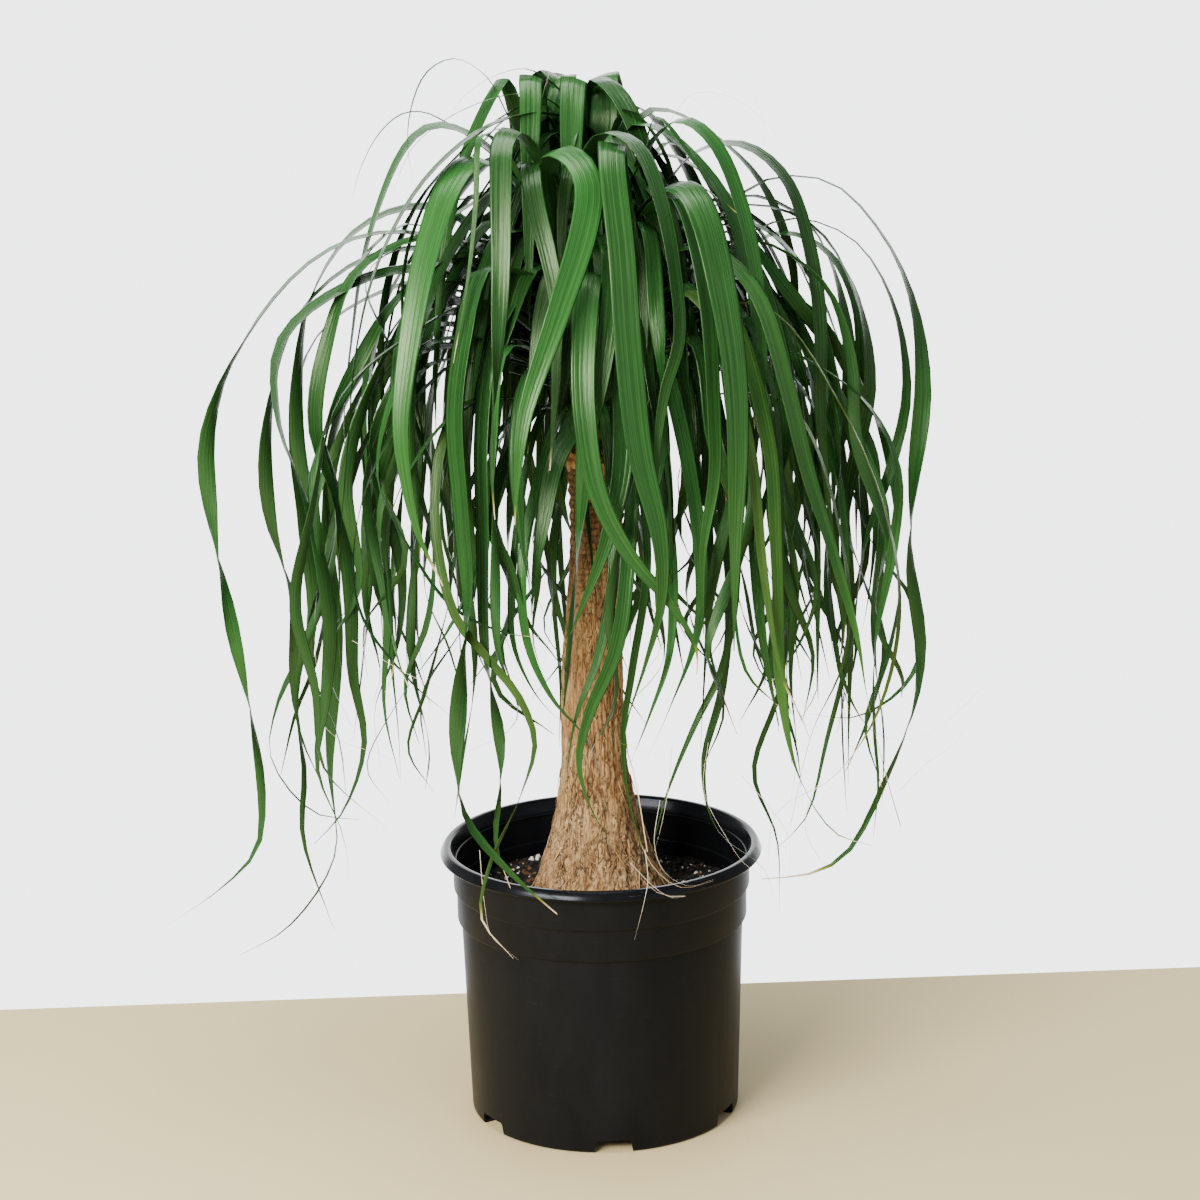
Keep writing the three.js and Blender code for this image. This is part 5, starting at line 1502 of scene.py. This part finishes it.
class PALM_OT_trunk(bpy.types.Operator):
    """Grows the trunk with its cracked bark, and the fine roots that hang from its foot"""

    bl_idname = "palm.trunk"
    bl_label = "Trunk"

    def execute(self, context):
        look = context.scene.palm_trunk
        trunk = show("trunk_bark", trunk_mesh(look.relief), fibrous_bark(look))
        face_out(trunk.data, merge=False)
        trunk.data.shade_smooth()
        join_up(trunk, "trunk", "trunk")
        draw = make_draw(531)
        roots = [root_ribbon(draw) for _ in range(FINE_ROOT_COUNT)]
        dry = papery_husk("Fine dry root")
        roots = ribbons_piece("fine_roots", roots, dry, facets=5, thickness=0.8, gutter=0.0)
        join_up(roots, "trunk")
        return {"FINISHED"}


def husk_ribbon(row, turn, draw):
    """A dead leaf base at a share of a turn round the neck, in the lower row, 0, or the upper, 1."""
    low, high = TRUNK_TOP - 16, TRUNK_TOP - 1
    inner = NECK_RADIUS + HUSK_GAP
    angle = 2 * math.pi * turn
    droops = draw(0, 1) < 0.4
    reach = draw(8, 17) if row == 0 else draw(3.5, 8)
    end = low - draw(2, 16) if droops else high + draw(-6, -1)
    profile = [
        (inner + 1.0, low + 1.5 - 4 * row),
        (inner + 2.4, mix(low, high, 0.5) - 3 * row),
        (inner + reach * 0.7, mix(high - 3, end, 0.4)),
        (inner + reach, end),
    ]
    route = [(NECK_ACROSS + r * math.cos(angle), r * math.sin(angle), z) for r, z in profile]
    side = (-math.sin(angle), math.cos(angle), 0)
    width, twist = draw(*HUSK_WIDTH), draw(-70, 70)
    return ribbon(
        route, width, 0.0, twist, steps=12, shape=husk_width, start_side=side, tone=draw(0.1, 1)
    )


class PALM_OT_husks(bpy.types.Operator):
    """Makes the ragged dead leaf bases round the neck"""

    bl_idname = "palm.husks"
    bl_label = "Dry leaf bases"

    def execute(self, context):
        draw = make_draw(77)
        husks = []
        for row, count in ((0, 15), (1, 34)):
            husks += [husk_ribbon(row, (i + draw(-0.3, 0.3)) / count, draw) for i in range(count)]
        dead = papery_husk()
        piece = ribbons_piece("neck_husks", husks, dead, facets=10, thickness=0.09, gutter=0.35)
        join_up(piece, "dry_leaves", "dry_leaf_bases")
        return {"FINISHED"}


def fill_leaf(i, draw):
    """A leaf made by rule: the oldest lowest and most drooping, the youngest most upright."""
    age = i / (FILL_COUNT - 1)
    even = math.radians(FILL_TURN * i + draw(-14, 14))
    angle = even + FILL_CROWD_BACK * math.cos(even)
    front = smoothstep(-math.sin(angle), 0.2, 0.9)
    crest_reach = mix(*FILL_CREST_REACH, age) * draw(0.8, 1.25) * mix(1, 0.72, front)
    crest = mix(*FILL_CREST, age) + draw(-16, 12)
    hang = crest_reach + mix(*FILL_HANG, age) * draw(0.75, 1.3) * mix(1, 0.45, front)
    drop = mix(*FILL_DROP, age) * draw(0.7, 1.1)
    sway = draw(-FILL_SWAY, FILL_SWAY)
    root = mix(*FILL_ROOT, age)
    width = draw(*FILL_WIDTH)
    twist = draw(-FILL_TWIST, FILL_TWIST)
    spot = spotter(angle)
    route = [
        spot(7, 0, root),
        spot(crest_reach * 0.42, 0, mix(root, crest, 0.66)),
        spot(crest_reach, sway * 0.1, crest),
        spot(mix(crest_reach, hang, 0.66), sway * 0.3, crest - drop * 0.2),
        spot(hang, sway * 0.7, crest - drop * 0.55),
        spot(hang * 1.02, sway * 1.3, crest - drop),
    ]
    return route, width, twist


def inner_leaf(i, count, draw):
    """A thin leaf inside the head, shorter than the ones that hide it."""
    age = i / (count - 1)
    angle = math.radians(FILL_TURN * i + draw(-20, 20))
    crest = mix(*HEART_CREST, age) + draw(-14, 14)
    reach = mix(*HEART_CREST_REACH, age) * draw(0.8, 1.15)
    hang = reach + draw(*HEART_HANG)
    drop = draw(*HEART_DROP) * mix(1.1, 0.7, age)
    sway = draw(-HEART_SWAY, HEART_SWAY)
    root = mix(*HEART_ROOT, age)
    spot = spotter(angle)
    route = [
        spot(10, 0, root),
        spot(reach * 0.45, 0, mix(root, crest, 0.66)),
        spot(reach, sway * 0.15, crest),
        spot(mix(reach, hang, 0.6), sway * 0.4, crest - drop * 0.3),
        spot(hang, sway, crest - drop),
    ]
    width, twist = draw(*HEART_WIDTH), draw(-HEART_TWIST, HEART_TWIST)
    tone, dry = draw(-0.2, 0.4), draw(0.97, 1.02)
    return ribbon(route, width, 0.45, twist, steps=26, tone=tone, dry=dry, straw=0.0)


def skirt_leaf(i, count, draw):
    """A leaf that hangs below the head and turns over as it falls, or None in front of the trunk."""
    age = i / (count - 1)
    even = math.radians(FILL_TURN * i + draw(-20, 20))
    angle = even + 0.3 * math.cos(even)
    turn = (math.cos(angle), math.sin(angle))
    crest = mix(*SKIRT_CREST, age) + draw(-15, 15)
    wide = 1 + HEAD_WIDER * turn[0] ** 2
    reach = mix(*SKIRT_CREST_REACH, age) * draw(0.8, 1.2) * wide
    hang = min(SKIRT_REACH * wide**1.3, reach + draw(*SKIRT_HANG) * wide)
    end = draw(*SKIRT_END)
    sway, hook = draw(-SKIRT_SWAY, SKIRT_SWAY), draw(-SKIRT_HOOK, SKIRT_HOOK)
    waves = [draw(-SKIRT_WAVE, SKIRT_WAVE) for _ in range(3)]
    twist = draw(*SKIRT_TWIST) * (1 if draw(0, 1) < 0.5 else -1)
    width, tone, dry = draw(*SKIRT_WIDTH), draw(0.0, 0.8), draw(0.965, 1.02)
    if turn[1] < -0.4 and abs(turn[0]) * hang < SKIRT_TRUNK_CLEAR:
        return None
    root = mix(*SKIRT_ROOT, age)
    spot = spotter(angle, FRONT_FLAT)
    route = [
        spot(10, 0, root),
        spot(reach * 0.45, 0, mix(root, crest, 0.66)),
        spot(reach, sway * 0.1, crest),
        spot(mix(reach, hang, 0.6), sway * 0.35, mix(crest, end, 0.22)),
        spot(hang, sway * 0.7 + waves[0], mix(crest, end, 0.46)),
        spot(hang + waves[2] * 0.4, sway + waves[1], mix(crest, end, 0.7)),
        spot(hang - waves[2] * 0.5, sway + waves[2] + hook * 0.3, mix(crest, end, 0.88)),
        spot(hang - waves[2] * 0.5, sway + hook, end),
    ]
    return ribbon(route, width, 0.3, twist, steps=38, tone=tone, dry=dry, straw=0.0)


def packed_base(i, draw):
    """The base of a young leaf, packed against the core."""
    low = mix(TRUNK_TOP + 4, PACKED_TOP, i / (PACKED_COUNT - 1))
    spot = spotter(math.radians(FILL_TURN * i))
    route = [
        spot(20, 0, low),
        spot(CORE_RADIUS + 1, 0, low + 26),
        spot(CORE_RADIUS + 3, 0, low + 70),
        spot(24, 0, low + 118),
    ]
    width, tone = draw(*PACKED_WIDTH), draw(0.0, 0.5)
    return ribbon(route, width, steps=14, shape=packed_width, tone=tone, dry=1.5, straw=0.0)


def crown_ribbons(draw):
    """The leaves placed one by one, and those made by rule between and behind them."""
    ribbons = []
    lists = {"top": TOP_LEAVES, "front": FRONT_LEAVES, "right": RIGHT_LEAVES, "left": LEFT_LEAVES}
    for name, leaves in lists.items():
        for place, (width, (twist_from, twist), *seen) in enumerate(leaves):
            usual = draw(0.2, 0.85), draw(0.97, 1.02), 0.0
            if width < 9:
                usual = draw(0.2, 0.8), draw(0.94, 1.0), 0.0
            tone, dry, straw = LEAF_LOOKS.get((name, place), usual)
            looks = {"tone": tone, "dry": dry, "straw": straw}
            shape = tailed_width if dry < TAIL_DRY else leaf_width
            route = rooted([placed(p) for p in seen])
            ribbons.append(ribbon(route, width, twist_from, twist, steps=46, shape=shape, **looks))
    fill = make_draw(2027)
    for i in range(FILL_COUNT):
        route, width, twist = fill_leaf(i, fill)
        tone, dry = draw(0.05, 0.7), draw(0.97, 1.02)
        ribbons.append(ribbon(route, width, 0.45, twist, steps=34, tone=tone, dry=dry, straw=0.0))
    return ribbons


def inner_ribbons(look, draw):
    """The leaves of the heart, those beside and below the head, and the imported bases."""
    ribbons = [inner_leaf(i, look.heart, draw) for i in range(look.heart)]
    for width, (twist_from, twist), *seen in SIDE_LEAVES:
        route = rooted([placed(p) for p in seen])
        tone = draw(0.2, 0.7)
        ribbons.append(ribbon(route, width, twist_from, twist, tone=tone, dry=1.0, straw=0.0))
    ribbons += filter(None, [skirt_leaf(i, look.skirt, draw) for i in range(look.skirt)])
    return ribbons + [packed_base(i, draw) for i in range(PACKED_COUNT)]


class PALM_OT_leaves(bpy.types.Operator):
    """Grows the head of strap leaves, its packed heart and its dry threads"""

    bl_idname = "palm.leaves"
    bl_label = "Strap leaves"

    def execute(self, context):
        look = context.scene.palm_leaves
        draw = make_draw(6121)
        ribbons = crown_ribbons(draw)
        green = waxy_leaf(look)
        leaves = ribbons_piece("strap_leaves", ribbons, green, gutter=look.gutter)
        join_up(leaves, "leaves", "leaf_crown")

        ribbons = inner_ribbons(look, draw)
        heart = ribbons_piece("inner_leaves", ribbons, green, facets=10, gutter=look.gutter)
        join_up(heart, "leaves")

        core = show("leaf_core", lathe(CORE_OUTLINE, 40), green)
        for name, value in CORE_LOOKS.items():
            mark(core.data, name, [value] * len(core.data.vertices))
        face_out(core.data)
        core.data.shade_smooth()
        join_up(core, "leaves")

        ribbons = []
        for seen in THREADS:
            route, width = [placed(p) for p in seen], draw(*THREAD_WIDTH)
            ribbons.append(ribbon(route, width, steps=30, shape=thread_width, tone=draw(0.9, 1.2)))
        bleached = grain_finish("Bleached dry thread", "#c4aa80", "#f2eadb", 0.7)
        threads = ribbons_piece("dry_threads", ribbons, bleached, facets=5, thickness=0.5, gutter=0.0)
        join_up(threads, "dry_leaves")
        return {"FINISHED"}


def area_light(name, place, target, size, power, colour):
    """A softbox of a width and a height that faces a point."""
    light = bpy.data.lights.new(name, "AREA")
    light.shape = "RECTANGLE"
    light.size, light.size_y = size
    light.energy = power
    light.color = linear(colour)[:3]
    obj = bpy.data.objects.new(name, light)
    obj.location = place
    obj.rotation_euler = (Vector(target) - Vector(place)).to_track_quat("-Z", "Y").to_euler()
    bpy.context.scene.collection.objects.link(obj)


class PALM_OT_studio(bpy.types.Operator):
    """Sets the floor, the lights, the surroundings and the camera"""

    bl_idname = "palm.studio"
    bl_label = "Studio"

    def execute(self, context):
        look = context.scene.palm_studio
        mesh = bpy.data.meshes.new("floor")
        mesh.from_pydata([(x, y, 0) for x, y in FLOOR_CORNERS], [], [(0, 1, 2, 3)])
        show("floor", mesh, studio_floor(look))

        world = bpy.data.worlds.new("Pale studio")
        world.use_nodes = True
        tree = world.node_tree
        tree.nodes.clear()
        # The surroundings are brightest on the plant's far side
        towards = add(tree, PLACE).outputs["Generated"]
        behind = add(tree, SPLIT, {0: towards}).outputs[1]
        links = {0: behind, 1: 0.68, 2: 0.9, 3: look.ambient, 4: look.backdrop}
        strength = add(tree, RANGE, links, interpolation_type="SMOOTHSTEP")
        light = add(tree, "ShaderNodeBackground", {"Color": look.world, "Strength": strength})
        add(tree, "ShaderNodeOutputWorld", {"Surface": light})
        context.scene.world = world
        for name, place, target, size, share, colour in SOFTBOXES:
            area_light(name, place, target, size, look.key * share, colour)

        camera = bpy.data.cameras.new("photograph")
        camera.lens = EYE_LENS
        camera.sensor_width = EYE_SENSOR
        obj = bpy.data.objects.new("photograph", camera)
        tilt, swing, roll = (math.radians(a) for a in (EYE_TILT, EYE_SWING, EYE_ROLL))
        level = math.cos(tilt)
        ahead = Vector((math.sin(swing) * level, math.cos(swing) * level, -math.sin(tilt)))
        aside = Vector((math.cos(swing), -math.sin(swing), 0))
        upright = aside.cross(ahead)
        right = aside * math.cos(roll) - upright * math.sin(roll)
        up = aside * math.sin(roll) + upright * math.cos(roll)
        turn = Matrix((right, up, -ahead)).transposed().to_4x4()
        obj.matrix_world = Matrix.Translation((0, -EYE_BACK * MM, EYE_UP * MM)) @ turn
        context.scene.collection.objects.link(obj)
        context.scene.camera = obj
        return {"FINISHED"}


STEPS = (PALM_OT_pot, PALM_OT_soil, PALM_OT_trunk, PALM_OT_husks, PALM_OT_leaves, PALM_OT_studio)
LOOKS = {
    "palm_pot": PotLook,
    "palm_soil": SoilLook,
    "palm_trunk": TrunkLook,
    "palm_leaves": LeafLook,
    "palm_studio": StudioLook,
}


class PALM_PT_panel(bpy.types.Panel):
    """Lists the plant's settings and steps"""

    bl_idname = "PALM_PT_panel"
    bl_label = "Potted palm"
    bl_space_type = "VIEW_3D"
    bl_region_type = "UI"
    bl_category = "Palm"

    def draw(self, context):
        for name, look in LOOKS.items():
            box = self.layout.box()
            for key in look.__annotations__:
                box.prop(getattr(context.scene, name), key)
        for step in STEPS:
            self.layout.operator(step.bl_idname)


def register():
    """Adds the settings, the steps and the panel to Blender."""
    for name, look in LOOKS.items():
        bpy.utils.register_class(look)
        setattr(bpy.types.Scene, name, PointerProperty(type=look))
    for made in (*STEPS, PALM_PT_panel):
        bpy.utils.register_class(made)


def unregister():
    """Takes them all out again."""
    for made in (PALM_PT_panel, *reversed(STEPS)):
        bpy.utils.unregister_class(made)
    for name, look in LOOKS.items():
        delattr(bpy.types.Scene, name)
        bpy.utils.unregister_class(look)


def main():
    """Makes the whole scene."""
    register()
    bpy.ops.palm.pot()
    bpy.ops.palm.soil()
    bpy.ops.palm.trunk()
    bpy.ops.palm.husks()
    bpy.ops.palm.leaves()
    bpy.ops.palm.studio()


if __name__ == "__main__":
    main()
